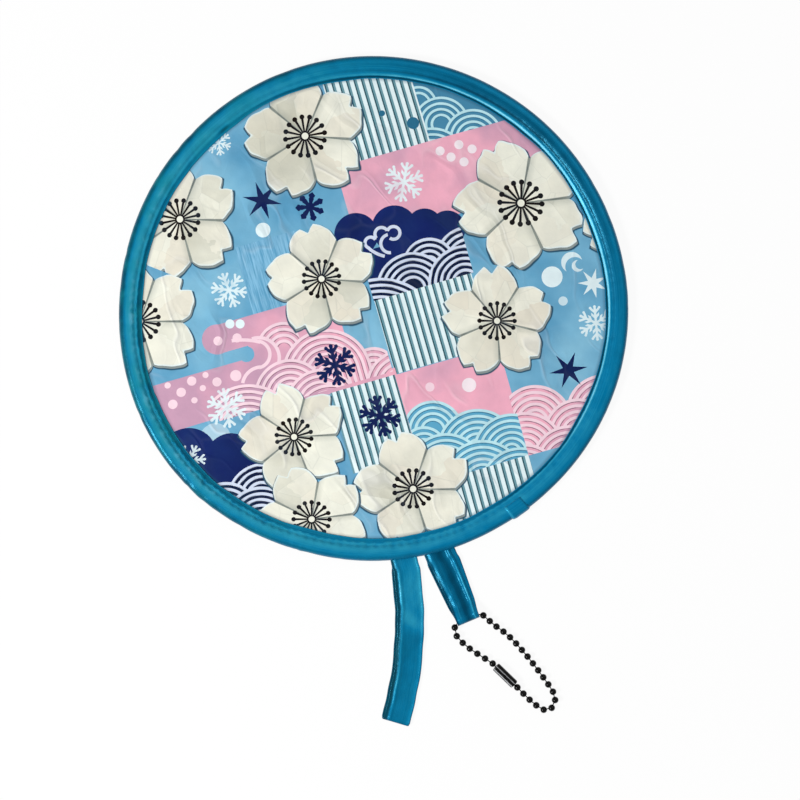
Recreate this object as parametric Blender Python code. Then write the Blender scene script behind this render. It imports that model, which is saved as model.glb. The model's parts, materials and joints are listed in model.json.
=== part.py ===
"""Twist-folding round hand fan with a fabric strap and a ball chain.

A closed hoop of flat spring steel lies inside a sewn tube of tape, which also
grips the edge of a printed fabric disc. A long strap and a short tab are sewn
in at the lower rim, and a ball chain with a clasp runs through the tab's fold.

The fan lies flat, print side up. It is modelled round the centre of its disc,
+X to the right and +Y away from the strap, and moved at the end so that the
origin is the middle of the bounding box's underside. A bearing is an angle at
the fan's centre, counted from -Y towards +X. A heading is a direction in the
plane, counted the same way.
"""

import math

import bmesh
import bpy
import numpy as np
from mathutils import Matrix, Vector

MM = 0.001
DEG = math.pi / 180.0
FULL_TURN = 2.0 * math.pi
HALF_TURN = math.pi

# General clearances and mesh counts
FIT_GAP = 0.3 * MM
LAYER_GAP = 0.3 * MM
MERGE_DISTANCE = 0.001 * MM
HALF_RING_STEPS = 36
SHARP_ANGLE = 40.0 * DEG

# Display colours, 0 to 255
SATIN_COLOUR = (20, 128, 162)
PRINT_COLOUR = (100, 165, 200)
THREAD_COLOUR = (10, 110, 145)
STEEL_COLOUR = (150, 152, 156)
SLEEVE_COLOUR = (170, 168, 160)
BLACK_COLOUR = (24, 24, 27)

# Hoop binding: a tube of tape whose two edges make a flange on the fabric
FAN_RADIUS = 100.0 * MM
TUBE_WIDTH = 5.8 * MM
TUBE_HEIGHT = 5.0 * MM
TUBE_SIDES = 8
TAPE_WALL = 0.5 * MM
FLANGE_WIDTH = 3.1 * MM
LAP_BEARING = 36.0 * DEG
LAP_LENGTH = 8.0 * MM
LAP_TAPE_WALL = 0.4 * MM
LAP_STEPS = 3

# Fabric disc
FABRIC_THICKNESS = 0.4 * MM

# Sewing thread of the binding
THREAD_DIAMETER = 0.4 * MM
STITCH_INSET = 0.6 * MM

# Spring hoop and the sleeve that joins its ends
WIRE_THICKNESS = 0.6 * MM
WIRE_HEIGHT = 2.5 * MM
SLEEVE_LENGTH = 12.0 * MM
SLEEVE_WALL = 0.4 * MM
SLEEVE_CLEARANCE = 0.15 * MM
SLEEVE_SLIT = 0.4 * MM
SLEEVE_STEPS = 3

# Strap: a flat loop of tape, two layers and a fold
STRAP_BEARING = 7.1 * DEG
STRAP_START_HEADING = 9.5 * DEG
STRAP_END_HEADING = -16.5 * DEG
STRAP_LENGTH = 63.2 * MM
STRAP_WIDTH = 10.6 * MM
STRAP_TAPE = 0.5 * MM
STRAP_STATIONS = 11

# Tab: a short folded tape whose end holds the chain in a tunnel
TAB_BEARING = 15.5 * DEG
TAB_HEADING = 23.0 * DEG
TAB_LENGTH = 27.8 * MM
TAB_ROOT_WIDTH = 12.4 * MM
TAB_END_WIDTH = 9.2 * MM
TAB_TURN_SHARE = 0.5
TAB_TAPE = 0.5 * MM
TAB_STATIONS = 5
TUNNEL_CLEARANCE = 0.35 * MM
TUNNEL_TAPER = 5.0 * MM
TUNNEL_ARC = (-90.0 * DEG, 126.0 * DEG)
TUNNEL_ARC_POINTS = 7

# Ball chain: hollow beads joined by headed wires. The stations are angles from
# a ball's link towards its mouth, and the bend zone is where its skin turns
# with the link, fully at the first angle and not at all past the second
BEAD_DIAMETER = 2.4 * MM
BEAD_WALL = 0.28 * MM
BEAD_MOUTH_DIAMETER = 1.0 * MM
BEAD_SIDES = 8
OUTER_STATIONS = (45.0 * DEG, 90.0 * DEG, 130.0 * DEG)
INNER_STATIONS = (90.0 * DEG, 45.0 * DEG, 0.0)
HEAD_STATIONS = (0.0, 60.0 * DEG)
BEND_ZONE = (8.0 * DEG, 95.0 * DEG)
STRAIGHT_ANGLE = 0.01 * DEG
LINK_WIRE_DIAMETER = 0.3 * MM
LINK_HEAD_DIAMETER = 1.24 * MM

# Chain loop: its reach past the tab, the same in pitches of the beads, and its
# route as shares of that reach, across and along the tab's heading, from the
# clasp round to the clasp. The links are counted out of the clasp, up to the
# tunnel's first mouth, through the tunnel, back, and into the clasp
CHAIN_REACH = 46.24 * MM
REACH_PITCHES = 13.6
STRETCH_LINKS = (1, 19, 4, 6, 1)
TUNNEL_EXIT_ANGLE = 36.0 * DEG
CHAIN_SETTLE = 12.0 * MM
OUTER_ROUTE_SHARES = (
    (0.216, 0.863),
    (0.281, 0.974),
    (0.346, 1.000),
    (0.409, 0.952),
    (0.424, 0.879),
    (0.395, 0.727),
    (0.339, 0.507),
    (0.264, 0.294),
    (0.180, 0.145),
)
INNER_ROUTE_SHARES = (
    (-0.144, 0.125),
    (-0.085, 0.259),
)
ROUTE_SAMPLES = 40
ROW_SHARES = (0.205, 0.44, 0.72, 0.87)

# Clasp: a sheet-metal sleeve, open along one side, lipped at both ends
CLASP_CENTRE_SHARES = (0.102, 0.587)
CLASP_TURN = 23.0 * DEG
CLASP_LENGTH = 10.4 * MM
CLASP_WALL = 0.35 * MM
CLASP_CLEARANCE = 0.25 * MM
CLASP_MOUTH_DIAMETER = 1.3 * MM
CLASP_EDGE = 0.4 * MM
CLASP_END_GAP = 0.35 * MM
CLASP_WRAP = 300.0 * DEG
CLASP_STEPS = 12

# Sizes that follow
TUBE_CENTRE_RADIUS = FAN_RADIUS - TUBE_WIDTH / 2.0
TUBE_CENTRE_HEIGHT = TUBE_HEIGHT / 2.0
TUBE_INNER_EDGE = FAN_RADIUS - TUBE_WIDTH
SLIT_HALF = FABRIC_THICKNESS / 2.0 + FIT_GAP
FLANGE_HALF = SLIT_HALF + TAPE_WALL
STRAP_STACK = 2.0 * STRAP_TAPE + LAYER_GAP
TAB_STACK = 2.0 * TAB_TAPE + LAYER_GAP
BEAD_RADIUS = BEAD_DIAMETER / 2.0
BEAD_PITCH = CHAIN_REACH / REACH_PITCHES
TUNNEL_RADIUS = BEAD_RADIUS + TUNNEL_CLEARANCE
TUNNEL_HEIGHT = TUNNEL_RADIUS + TAB_TAPE
CLASP_INNER_RADIUS = BEAD_RADIUS + CLASP_CLEARANCE
CLASP_OUTER_RADIUS = CLASP_INNER_RADIUS + CLASP_WALL
CLASP_BEAD_OFFSET = CLASP_LENGTH / 2.0 - CLASP_WALL - FIT_GAP - BEAD_RADIUS


def linear(red, green, blue):
    """Return an 8-bit display colour as linear values with full opacity."""
    shares = [channel / 255.0 for channel in (red, green, blue)]
    values = [s / 12.92 if s <= 0.04045 else ((s + 0.055) / 1.055) ** 2.4 for s in shares]
    return (*values, 1.0)


def material(name, colour, roughness, metallic):
    """Make one plain surface."""
    surface = bpy.data.materials.new(name)
    surface.use_nodes = True
    shader = surface.node_tree.nodes["Principled BSDF"]
    shader.inputs["Base Color"].default_value = colour
    shader.inputs["Roughness"].default_value = roughness
    shader.inputs["Metallic"].default_value = metallic
    surface.diffuse_color = colour
    return surface


def clear_scene():
    """Remove every object of the open file."""
    for item in list(bpy.data.objects):
        bpy.data.objects.remove(item, do_unlink=True)


def world_place(item):
    """Add up the places of an object and its parents, none of them rotated."""
    place = Vector((0.0, 0.0, 0.0))
    while item is not None:
        place += item.location
        item = item.parent
    return place


def add_pivot(name, place, parent=None):
    """Add an empty at a place; the pieces of one body hang from it."""
    pivot = bpy.data.objects.new(name, None)
    bpy.context.scene.collection.objects.link(pivot)
    pivot.parent = parent
    pivot.location = Vector(place) - world_place(parent)
    return pivot


def add_piece(name, mesh_builder, surface, pivot):
    """Turn a bmesh in fan coordinates into a smooth-shaded object of a body."""
    bmesh.ops.remove_doubles(mesh_builder, verts=mesh_builder.verts, dist=MERGE_DISTANCE)
    bmesh.ops.recalc_face_normals(mesh_builder, faces=mesh_builder.faces)
    bmesh.ops.translate(mesh_builder, verts=mesh_builder.verts, vec=-world_place(pivot))
    mesh = bpy.data.meshes.new(name)
    mesh_builder.to_mesh(mesh)
    mesh_builder.free()
    mesh.materials.append(surface)
    mesh.shade_smooth()
    mesh.set_sharp_from_angle(angle=SHARP_ANGLE)
    piece = bpy.data.objects.new(name, mesh)
    bpy.context.scene.collection.objects.link(piece)
    piece.parent = pivot
    return piece


def direction(heading):
    """Return the unit vector of a heading."""
    return Vector((math.sin(heading), -math.cos(heading), 0.0))


def across(heading):
    """Return the unit vector to the right of a heading, seen from above."""
    return Vector((math.cos(heading), math.sin(heading), 0.0))


# Places that follow: the two seams beside the rim, and the tunnel's middle
STRAP_ROOT = direction(STRAP_BEARING) * (FAN_RADIUS + FIT_GAP + STRAP_STACK / 2.0)
TAB_ROOT = direction(TAB_BEARING) * (FAN_RADIUS + FIT_GAP + TAB_STACK / 2.0)
TUNNEL_FOOT = TAB_ROOT + direction(TAB_HEADING) * (TAB_LENGTH - TUNNEL_HEIGHT)


def turned_ring(profile, start, sweep, steps):
    """Sweep a closed (radius, height) outline about the fan's axis from a bearing."""
    outward = direction(start)
    builder = bmesh.new()
    points = [outward * radius + Vector((0.0, 0.0, height)) for radius, height in profile]
    face = builder.faces.new([builder.verts.new(point) for point in points])
    bmesh.ops.spin(builder, geom=[face, *face.edges, *face.verts], cent=(0.0, 0.0, 0.0),
                   axis=(0.0, 0.0, 1.0), angle=sweep, steps=steps)
    return builder


def half_ring(profile, centre_bearing):
    """Sweep an outline through half a turn, less half a gap at either end."""
    margin = FIT_GAP / 2.0 / TUBE_CENTRE_RADIUS
    start = centre_bearing - HALF_TURN / 2.0 + margin
    return turned_ring(profile, start, HALF_TURN - 2.0 * margin, HALF_RING_STEPS)


def tube_outline(inset):
    """Return the tape tube's outline without its inner sides, top to bottom.

    It is a regular figure, stretched, with a flat top, outer side and underside.
    """
    corner = HALF_TURN / TUBE_SIDES
    half_width = (TUBE_WIDTH / 2.0 - inset) / math.cos(corner)
    half_height = (TUBE_HEIGHT / 2.0 - inset) / math.cos(corner)
    open_half = TUBE_SIDES / 2 + 1
    angles = np.arange(open_half, -open_half - 1.0, -2.0) * corner
    return [(TUBE_CENTRE_RADIUS + half_width * math.cos(angle),
             TUBE_CENTRE_HEIGHT + half_height * math.sin(angle)) for angle in angles]


def binding_profile():
    """Return the section of tube and flange, with the slit that takes the fabric."""
    outer_edge = TUBE_INNER_EDGE
    hollow_edge = TUBE_INNER_EDGE + TAPE_WALL
    tip = TUBE_INNER_EDGE - FLANGE_WIDTH
    top, slit_top = (TUBE_CENTRE_HEIGHT + half for half in (FLANGE_HALF, SLIT_HALF))
    under, slit_under = (TUBE_CENTRE_HEIGHT - half for half in (FLANGE_HALF, SLIT_HALF))
    outside = [(tip, top), (outer_edge, top), *tube_outline(0.0), (outer_edge, under), (tip, under)]
    inside = [(hollow_edge, slit_top), *tube_outline(TAPE_WALL), (hollow_edge, slit_under)]
    return [*outside, (tip, slit_under), *reversed(inside), (tip, slit_top)]


def lap_profile():
    """Return the section of the tape's turned-over end, from the seam over the tube."""
    flange_top = TUBE_CENTRE_HEIGHT + FLANGE_HALF
    covered = len(tube_outline(0.0)) - 2
    near, far = ([(TUBE_INNER_EDGE, flange_top + rise), *tube_outline(-rise)[:covered]]
                 for rise in (FIT_GAP, FIT_GAP + LAP_TAPE_WALL))
    return [*near, *reversed(far)]


def box_profile(half_width, half_height):
    """Return a rectangle round the middle of the tube."""
    return [(TUBE_CENTRE_RADIUS + side * half_width, TUBE_CENTRE_HEIGHT + rise * half_height)
            for side, rise in ((-1, -1), (1, -1), (1, 1), (-1, 1))]


def sleeve_profile():
    """Return a rectangular tube round the wire, with its seam open on top."""
    inner_width = WIRE_THICKNESS / 2.0 + SLEEVE_CLEARANCE
    inner_height = WIRE_HEIGHT / 2.0 + SLEEVE_CLEARANCE
    outer_width = inner_width + SLEEVE_WALL
    outer_height = inner_height + SLEEVE_WALL
    seam = SLEEVE_SLIT / 2.0
    outer = [(seam, outer_height), (outer_width, outer_height), (outer_width, -outer_height),
             (-outer_width, -outer_height), (-outer_width, outer_height), (-seam, outer_height)]
    inner = [(seam, inner_height), (inner_width, inner_height), (inner_width, -inner_height),
             (-inner_width, -inner_height), (-inner_width, inner_height), (-seam, inner_height)]
    return [(TUBE_CENTRE_RADIUS + radius, TUBE_CENTRE_HEIGHT + height)
            for radius, height in (*outer, *reversed(inner))]


def thread_profile(side):
    """Return the section of the thread above (side 1) or under (-1) the flange."""
    radius = THREAD_DIAMETER / 2.0
    middle = TUBE_INNER_EDGE - STITCH_INSET
    height = TUBE_CENTRE_HEIGHT + side * (FLANGE_HALF + FIT_GAP + radius)
    return [(middle + radius, height), (middle, height + radius),
            (middle - radius, height), (middle, height - radius)]


def half_disc(centre_bearing):
    """Build one half of the fabric, out to the bottom of the binding's slit."""
    margin = FIT_GAP / 2.0 / TUBE_CENTRE_RADIUS
    start = centre_bearing - HALF_TURN / 2.0 + margin
    step = (HALF_TURN - 2.0 * margin) / HALF_RING_STEPS
    under = Vector((0.0, 0.0, TUBE_CENTRE_HEIGHT - FABRIC_THICKNESS / 2.0))
    builder = bmesh.new()
    rim = [builder.verts.new(direction(start + index * step) * TUBE_INNER_EDGE + under)
           for index in range(HALF_RING_STEPS + 1)]
    face = builder.faces.new(rim)
    grown = bmesh.ops.extrude_face_region(builder, geom=[face])
    raised = [item for item in grown["geom"] if isinstance(item, bmesh.types.BMVert)]
    bmesh.ops.translate(builder, verts=raised, vec=(0.0, 0.0, FABRIC_THICKNESS))
    return builder


def offset_path(path, distance):
    """Shift an (along, height) path sideways, mitred at its bends."""
    points = np.array(path)
    steps = np.diff(points, axis=0)
    steps /= np.linalg.norm(steps, axis=1)[:, None]
    before = np.vstack([steps[:1], steps])
    after = np.vstack([steps, steps[-1:]])
    normals = np.column_stack([-(before + after)[:, 1], (before + after)[:, 0]])
    normals /= np.linalg.norm(normals, axis=1)[:, None]
    stretch = np.sum(normals * np.column_stack([-after[:, 1], after[:, 0]]), axis=1)
    return points + normals * (distance / stretch)[:, None]


def folded_tape(path, tape, place):
    """Build a tape that follows a path in the along-height plane.

    place turns (along, side, height) into fan coordinates, with side -1 or 1.
    """
    builder = bmesh.new()
    left = [builder.verts.new((along, -1.0, height))
            for along, height in offset_path(path, tape / 2.0)]
    right = [builder.verts.new((along, -1.0, height))
             for along, height in offset_path(path, -tape / 2.0)]
    strip = [builder.faces.new((left[i], right[i], right[i + 1], left[i + 1]))
             for i in range(len(path) - 1)]
    grown = bmesh.ops.extrude_face_region(builder, geom=strip)
    for item in grown["geom"]:
        if isinstance(item, bmesh.types.BMVert):
            item.co.y = 1.0
    for vertex in builder.verts:
        vertex.co = place(*vertex.co)
    return builder


def centreline(root, start_heading, end_heading, length, along):
    """Return the place and heading at a distance along an evenly curved line."""
    heading = start_heading + (end_heading - start_heading) * along / length
    mean = (start_heading + heading) / 2.0
    bow = (heading - start_heading) / 2.0
    chord = along * float(np.sinc(bow / math.pi))
    return root + direction(mean) * chord, heading


def strap_place(along, side, height):
    """Place a point of the strap, which curves gently to the left."""
    middle, heading = centreline(STRAP_ROOT, STRAP_START_HEADING, STRAP_END_HEADING,
                                 STRAP_LENGTH, along)
    return middle + across(heading) * (side * STRAP_WIDTH / 2.0) + Vector((0.0, 0.0, height))


def tab_place(along, side, height):
    """Place a point of the tab, which narrows and turns square to its heading."""
    share = along / TAB_LENGTH
    width = TAB_ROOT_WIDTH + (TAB_END_WIDTH - TAB_ROOT_WIDTH) * share
    bearing = TAB_BEARING + (TAB_HEADING - TAB_BEARING) * min(share / TAB_TURN_SHARE, 1.0)
    middle = TAB_ROOT + direction(TAB_HEADING) * along
    return middle + across(bearing) * (side * width / 2.0) + Vector((0.0, 0.0, height))


def strap_path():
    """Return the strap's path: lower layer out, fold, upper layer back."""
    lower = STRAP_TAPE / 2.0
    fold_radius = (STRAP_TAPE + LAYER_GAP) / 2.0
    straight = STRAP_LENGTH - fold_radius - lower
    stations = [straight * index / (STRAP_STATIONS - 1) for index in range(STRAP_STATIONS)]
    fold = [(straight + fold_radius * math.cos(angle), lower + fold_radius * (1.0 + math.sin(angle)))
            for angle in (-HALF_TURN / 4.0, 0.0, HALF_TURN / 4.0)]
    upper = lower + 2.0 * fold_radius
    return [*((along, lower) for along in stations), *fold,
            *((along, upper) for along in reversed(stations))]


def tab_path():
    """Return the tab's path: lower layer out, round the tunnel, upper layer back."""
    lower = TAB_TAPE / 2.0
    upper = lower + TAB_TAPE + LAYER_GAP
    radius = TUNNEL_RADIUS + TAB_TAPE / 2.0
    end = TAB_LENGTH - TUNNEL_HEIGHT
    straight = end - TUNNEL_TAPER
    stations = [straight * index / (TAB_STATIONS - 1) for index in range(TAB_STATIONS)]
    bend = [(end + radius * math.cos(angle), lower + radius * (1.0 + math.sin(angle)))
            for angle in np.linspace(*TUNNEL_ARC, TUNNEL_ARC_POINTS)]
    return [*((along, lower) for along in stations), *bend,
            *((along, upper) for along in reversed(stations))]


def smooth_route(points):
    """Sample a curve that passes through the given points (Catmull-Rom)."""
    ring = np.array([2.0 * points[0] - points[1], *points, 2.0 * points[-1] - points[-2]])
    steps = np.linspace(0.0, 1.0, ROUTE_SAMPLES, endpoint=False)[:, None]
    stretches = []
    for a, b, c, d in zip(ring[:-3], ring[1:-2], ring[2:-1], ring[3:]):
        bend = 2.0 * a - 5.0 * b + 4.0 * c - d
        twist = 3.0 * b - a - 3.0 * c + d
        stretches.append(b + ((c - a) * steps + bend * steps ** 2 + twist * steps ** 3) / 2.0)
    return np.vstack([*stretches, points[-1:]])


def chain_route():
    """Return the route's points (across, along, height) in the tab's directions.

    It starts at the clasp's outer bead, runs round the loop, through the tab's
    tunnel and back to the clasp's inner bead. The second list counts the points
    at which a bead has to lie: beside the clasp and at the tunnel's mouths.
    """
    mouth = TAB_END_WIDTH / 2.0 + FIT_GAP + BEAD_RADIUS
    inside = mouth - BEAD_PITCH * math.cos(TUNNEL_EXIT_ANGLE)
    drop = BEAD_PITCH * math.sin(TUNNEL_EXIT_ANGLE)
    clasp_middle = np.array(CLASP_CENTRE_SHARES) * CHAIN_REACH
    clasp_line = np.array([math.sin(CLASP_TURN), math.cos(CLASP_TURN)])
    end_offset = CLASP_LENGTH / 2.0 + CLASP_END_GAP + BEAD_RADIUS
    flat = [
        clasp_middle + clasp_line * CLASP_BEAD_OFFSET,
        clasp_middle + clasp_line * end_offset,
        *(np.array(shares) * CHAIN_REACH for shares in OUTER_ROUTE_SHARES),
        np.array([mouth, drop]),
        np.array([inside, 0.0]),
        np.array([0.0, 0.0]),
        np.array([-inside, 0.0]),
        np.array([-mouth, drop]),
        *(np.array(shares) * CHAIN_REACH for shares in INNER_ROUTE_SHARES),
        clasp_middle - clasp_line * end_offset,
        clasp_middle - clasp_line * CLASP_BEAD_OFFSET,
    ]
    heights = [BEAD_RADIUS + (TUNNEL_HEIGHT - BEAD_RADIUS) * max(0.0, 1.0 - along / CHAIN_SETTLE)
               for _, along in flat]
    heights[0] = heights[-1] = CLASP_OUTER_RADIUS
    first_exit = 2 + len(OUTER_ROUTE_SHARES)
    last_exit = len(flat) - 3 - len(INNER_ROUTE_SHARES)
    last = len(flat) - 1
    return np.column_stack([np.array(flat), heights]), (0, 1, first_exit, last_exit, last - 1, last)


def bead_centres():
    """Space the beads evenly along each stretch of the chain, in fan coordinates."""
    points, fixed = chain_route()
    route = smooth_route(points)
    lengths = np.linalg.norm(np.diff(route, axis=0), axis=1)
    travelled = np.concatenate([[0.0], np.cumsum(lengths)])
    stops = [travelled[index * ROUTE_SAMPLES] for index in fixed]
    marks = [0.0]
    for start, end, links in zip(stops[:-1], stops[1:], STRETCH_LINKS):
        marks += list(np.linspace(start, end, links + 1)[1:])
    spots = np.column_stack([np.interp(marks, travelled, route[:, axis]) for axis in range(3)])
    spots[:, 2] = np.maximum(spots[:, 2], BEAD_RADIUS)
    return [TUNNEL_FOOT + across(TAB_HEADING) * x + direction(TAB_HEADING) * y + Vector((0.0, 0.0, z))
            for x, y, z in spots]


def bead_outline(reach):
    """Return the (along, radius) outline of a bead and its outgoing link.

    It runs from the link's head, or the closed end where reach is None, over
    the ball to the mouth and round the hollow.
    """
    cavity = BEAD_RADIUS - BEAD_WALL
    mouth = BEAD_MOUTH_DIAMETER / 2.0
    wire = LINK_WIRE_DIAMETER / 2.0
    head = LINK_HEAD_DIAMETER / 2.0
    root = math.asin(wire / BEAD_RADIUS)
    outer_mouth = HALF_TURN - math.asin(mouth / BEAD_RADIUS)
    inner_mouth = HALF_TURN - math.asin(mouth / cavity)
    outline = []
    if reach is None:
        outline.append((BEAD_RADIUS, 0.0))
    else:
        neck = HALF_TURN - math.asin(wire / head)
        outline += [(reach + head * math.cos(angle), head * math.sin(angle))
                    for angle in (*HEAD_STATIONS, neck)]
        outline.append((BEAD_RADIUS * math.cos(root), wire))
    outline += [(BEAD_RADIUS * math.cos(angle), BEAD_RADIUS * math.sin(angle))
                for angle in (*OUTER_STATIONS, outer_mouth)]
    outline += [(cavity * math.cos(angle), cavity * math.sin(angle))
                for angle in (inner_mouth, *INNER_STATIONS)]
    return outline


def bead_builder(centre, incoming, outgoing):
    """Build one bead: mouth towards the bead before it, wire to the next one."""
    forward = incoming.normalized()
    side = Vector((0.0, 0.0, 1.0))
    bend = 0.0
    if outgoing is not None:
        bend = forward.angle(outgoing)
        if bend > STRAIGHT_ANGLE:
            side = forward.cross(outgoing).normalized()
    upward = side.cross(forward).normalized()
    side = forward.cross(upward)
    builder = bmesh.new()
    outline = bead_outline(None if outgoing is None else outgoing.length)
    line = [builder.verts.new((along, radius, 0.0)) for along, radius in outline]
    edges = [builder.edges.new(pair) for pair in zip(line[:-1], line[1:])]
    bmesh.ops.spin(builder, geom=[*line, *edges], cent=(0.0, 0.0, 0.0), axis=(1.0, 0.0, 0.0),
                   angle=FULL_TURN, steps=BEAD_SIDES)
    bmesh.ops.remove_doubles(builder, verts=builder.verts, dist=MERGE_DISTANCE)
    for vertex in builder.verts:
        vertex.co = bent(vertex.co, bend)
    bmesh.ops.transform(builder, verts=builder.verts,
                        matrix=Matrix((forward, upward, side)).transposed().to_4x4())
    bmesh.ops.translate(builder, verts=builder.verts, vec=centre)
    return builder


def bent(spot, bend):
    """Turn the link, and in part the ball's skin round its root, by the bend."""
    if spot.length < BEAD_RADIUS - BEAD_WALL / 2.0:
        return spot
    from_tip = Vector((1.0, 0.0, 0.0)).angle(spot)
    full, none = BEND_ZONE
    share = min(1.0, max(0.0, (none - from_tip) / (none - full)))
    return Matrix.Rotation(bend * share, 3, "Z") @ spot


def clasp_builder(middle, line):
    """Build the clasp: its outline swept most of the way round its own axis."""
    half = CLASP_LENGTH / 2.0
    lip = half - CLASP_WALL
    mouth = CLASP_MOUTH_DIAMETER / 2.0
    outline = [(-half, mouth), (-half, CLASP_OUTER_RADIUS - CLASP_EDGE),
               (CLASP_EDGE - half, CLASP_OUTER_RADIUS), (half - CLASP_EDGE, CLASP_OUTER_RADIUS),
               (half, CLASP_OUTER_RADIUS - CLASP_EDGE), (half, mouth),
               (lip, mouth), (lip, CLASP_INNER_RADIUS), (-lip, CLASP_INNER_RADIUS), (-lip, mouth)]
    forward = line.normalized()
    side = forward.cross(Vector((0.0, 0.0, 1.0))).normalized()
    upward = side.cross(forward)
    builder = bmesh.new()
    face = builder.faces.new([builder.verts.new((along, radius, 0.0)) for along, radius in outline])
    bmesh.ops.spin(builder, geom=[face, *face.edges, *face.verts], cent=(0.0, 0.0, 0.0),
                   axis=(1.0, 0.0, 0.0), angle=CLASP_WRAP, steps=CLASP_STEPS)
    bmesh.ops.transform(builder, verts=builder.verts,
                        matrix=Matrix((forward, side, upward)).transposed().to_4x4())
    bmesh.ops.translate(builder, verts=builder.verts, vec=middle)
    return builder


def nearest(indices, values, target):
    """Return the index whose value comes nearest to the target."""
    return min(indices, key=lambda index: abs(values[index] - target))


def chain_rows(centres):
    """Choose the pair of beads, inner and outer branch, that each fold runs through."""
    reach = [(centre - TUNNEL_FOOT).dot(direction(TAB_HEADING)) for centre in centres]
    spread = [(centre - TUNNEL_FOOT).length for centre in centres]
    far = reach.index(max(reach))
    tunnel = spread.index(min(spread))
    rows = []
    for share in ROW_SHARES:
        target = share * CHAIN_REACH
        near_clasp = share > CLASP_CENTRE_SHARES[1]
        inner = range(1, far) if near_clasp else range(tunnel, len(centres))
        rows.append((nearest(inner, reach, target), nearest(range(far, tunnel), reach, target)))
    return rows, far, tunnel


def row_of_bead(index, rows, far, tunnel):
    """Count the folds between the tab and a bead."""
    if index < far:
        return sum(1 for inner, _ in rows if inner > tunnel or inner <= index)
    if index < tunnel:
        return sum(1 for _, outer in rows if outer > index)
    return sum(1 for inner, _ in rows if tunnel < inner <= index)


def build_fan(frame, surfaces):
    """Build the hoop, binding, thread and fabric, in two halves with one fold."""
    lower = add_pivot("fan_lower_body", (0.0, 0.0, 0.0), frame)
    upper = add_pivot("hoop_flex_axis", (0.0, 0.0, TUBE_HEIGHT), frame)
    halves = (("lower", 0.0, lower), ("upper", HALF_TURN, upper))
    for label, bearing, pivot in halves:
        add_piece(f"binding_{label}", half_ring(binding_profile(), bearing), surfaces["satin"], pivot)
        add_piece(f"fabric_{label}", half_disc(bearing), surfaces["print"], pivot)
        for seam, side in (("needle", 1.0), ("bobbin", -1.0)):
            add_piece(f"{seam}_thread_{label}", half_ring(thread_profile(side), bearing),
                      surfaces["thread"], pivot)
    build_hoop(lower, upper, surfaces)
    sweep = LAP_LENGTH / FAN_RADIUS
    lap = turned_ring(lap_profile(), LAP_BEARING - sweep / 2.0, sweep, LAP_STEPS)
    add_piece("binding_lap", lap, surfaces["satin"], lower)
    return lower, upper


def build_hoop(lower, upper, surfaces):
    """Build the spring hoop, whose two ends meet inside a sleeve under the lap."""
    wire = box_profile(WIRE_THICKNESS / 2.0, WIRE_HEIGHT / 2.0)
    add_piece("hoop_wire_upper", half_ring(wire, HALF_TURN), surfaces["steel"], upper)
    margin = FIT_GAP / 2.0 / TUBE_CENTRE_RADIUS
    limit = HALF_TURN / 2.0
    step = HALF_TURN / HALF_RING_STEPS
    runs = (("left", -limit + margin, LAP_BEARING - margin),
            ("right", LAP_BEARING + margin, limit - margin))
    for label, start, end in runs:
        run = turned_ring(wire, start, end - start, round((end - start) / step))
        add_piece(f"hoop_wire_lower_{label}", run, surfaces["steel"], lower)
    sweep = SLEEVE_LENGTH / TUBE_CENTRE_RADIUS
    sleeve = turned_ring(sleeve_profile(), LAP_BEARING - sweep / 2.0, sweep, SLEEVE_STEPS)
    add_piece("hoop_joint_sleeve", sleeve, surfaces["sleeve"], lower)


def build_tapes(lower, surfaces):
    """Build the strap and the tab, each on its own axis beside the rim."""
    strap = add_pivot("strap_swing_axis", STRAP_ROOT + Vector((0.0, 0.0, STRAP_STACK / 2.0)), lower)
    add_piece("retaining_strap", folded_tape(strap_path(), STRAP_TAPE, strap_place),
              surfaces["satin"], strap)
    tab = add_pivot("tab_swing_axis", TAB_ROOT + Vector((0.0, 0.0, TAB_STACK / 2.0)), lower)
    add_piece("chain_tab", folded_tape(tab_path(), TAB_TAPE, tab_place), surfaces["satin"], tab)
    return strap, tab


def build_chain(tab, surfaces):
    """Build the beads, grouped between the chain's folds, and the clasp."""
    centres = bead_centres()
    rows, far, tunnel = chain_rows(centres)
    pivots = [add_pivot("chain_swing_axis", TUNNEL_FOOT + Vector((0.0, 0.0, TUNNEL_HEIGHT)), tab)]
    for number, (inner, outer) in enumerate(rows, start=1):
        middle = (centres[inner] + centres[outer]) / 2.0
        pivots.append(add_pivot(f"chain_fold_{number}_axis", middle, pivots[-1]))
    for index, centre in enumerate(centres):
        onward = centres[index + 1] - centre if index + 1 < len(centres) else None
        incoming = centre - centres[index - 1] if index > 0 else onward
        pivot = pivots[row_of_bead(index, rows, far, tunnel)]
        add_piece(f"chain_bead_{index + 1:02d}", bead_builder(centre, incoming, onward),
                  surfaces["black"], pivot)
    clasp_middle = (centres[0] + centres[-1]) / 2.0
    clasp = add_pivot("clasp_spin_axis", clasp_middle, pivots[row_of_bead(0, rows, far, tunnel)])
    add_piece("chain_clasp", clasp_builder(clasp_middle, centres[0] - centres[-1]),
              surfaces["black"], clasp)
    axes = [("chain_swing", pivots[0], -across(TAB_HEADING))]
    for number, (inner, outer) in enumerate(rows, start=1):
        axes.append((f"chain_fold_{number}", pivots[number],
                     (centres[inner] - centres[outer]).normalized()))
    axes.append(("clasp_spin", clasp, (centres[0] - centres[-1]).normalized()))
    return axes


def centre_on_box(frame):
    """Move the model so that the origin is the middle of its box's underside."""
    corners = []
    for piece in bpy.data.objects:
        if piece.type == "MESH":
            place = world_place(piece)
            corners += [place + vertex.co for vertex in piece.data.vertices]
    points = np.array(corners)
    low = points.min(axis=0)
    high = points.max(axis=0)
    frame.location = (-(low[0] + high[0]) / 2.0, -(low[1] + high[1]) / 2.0, -low[2])


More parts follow.
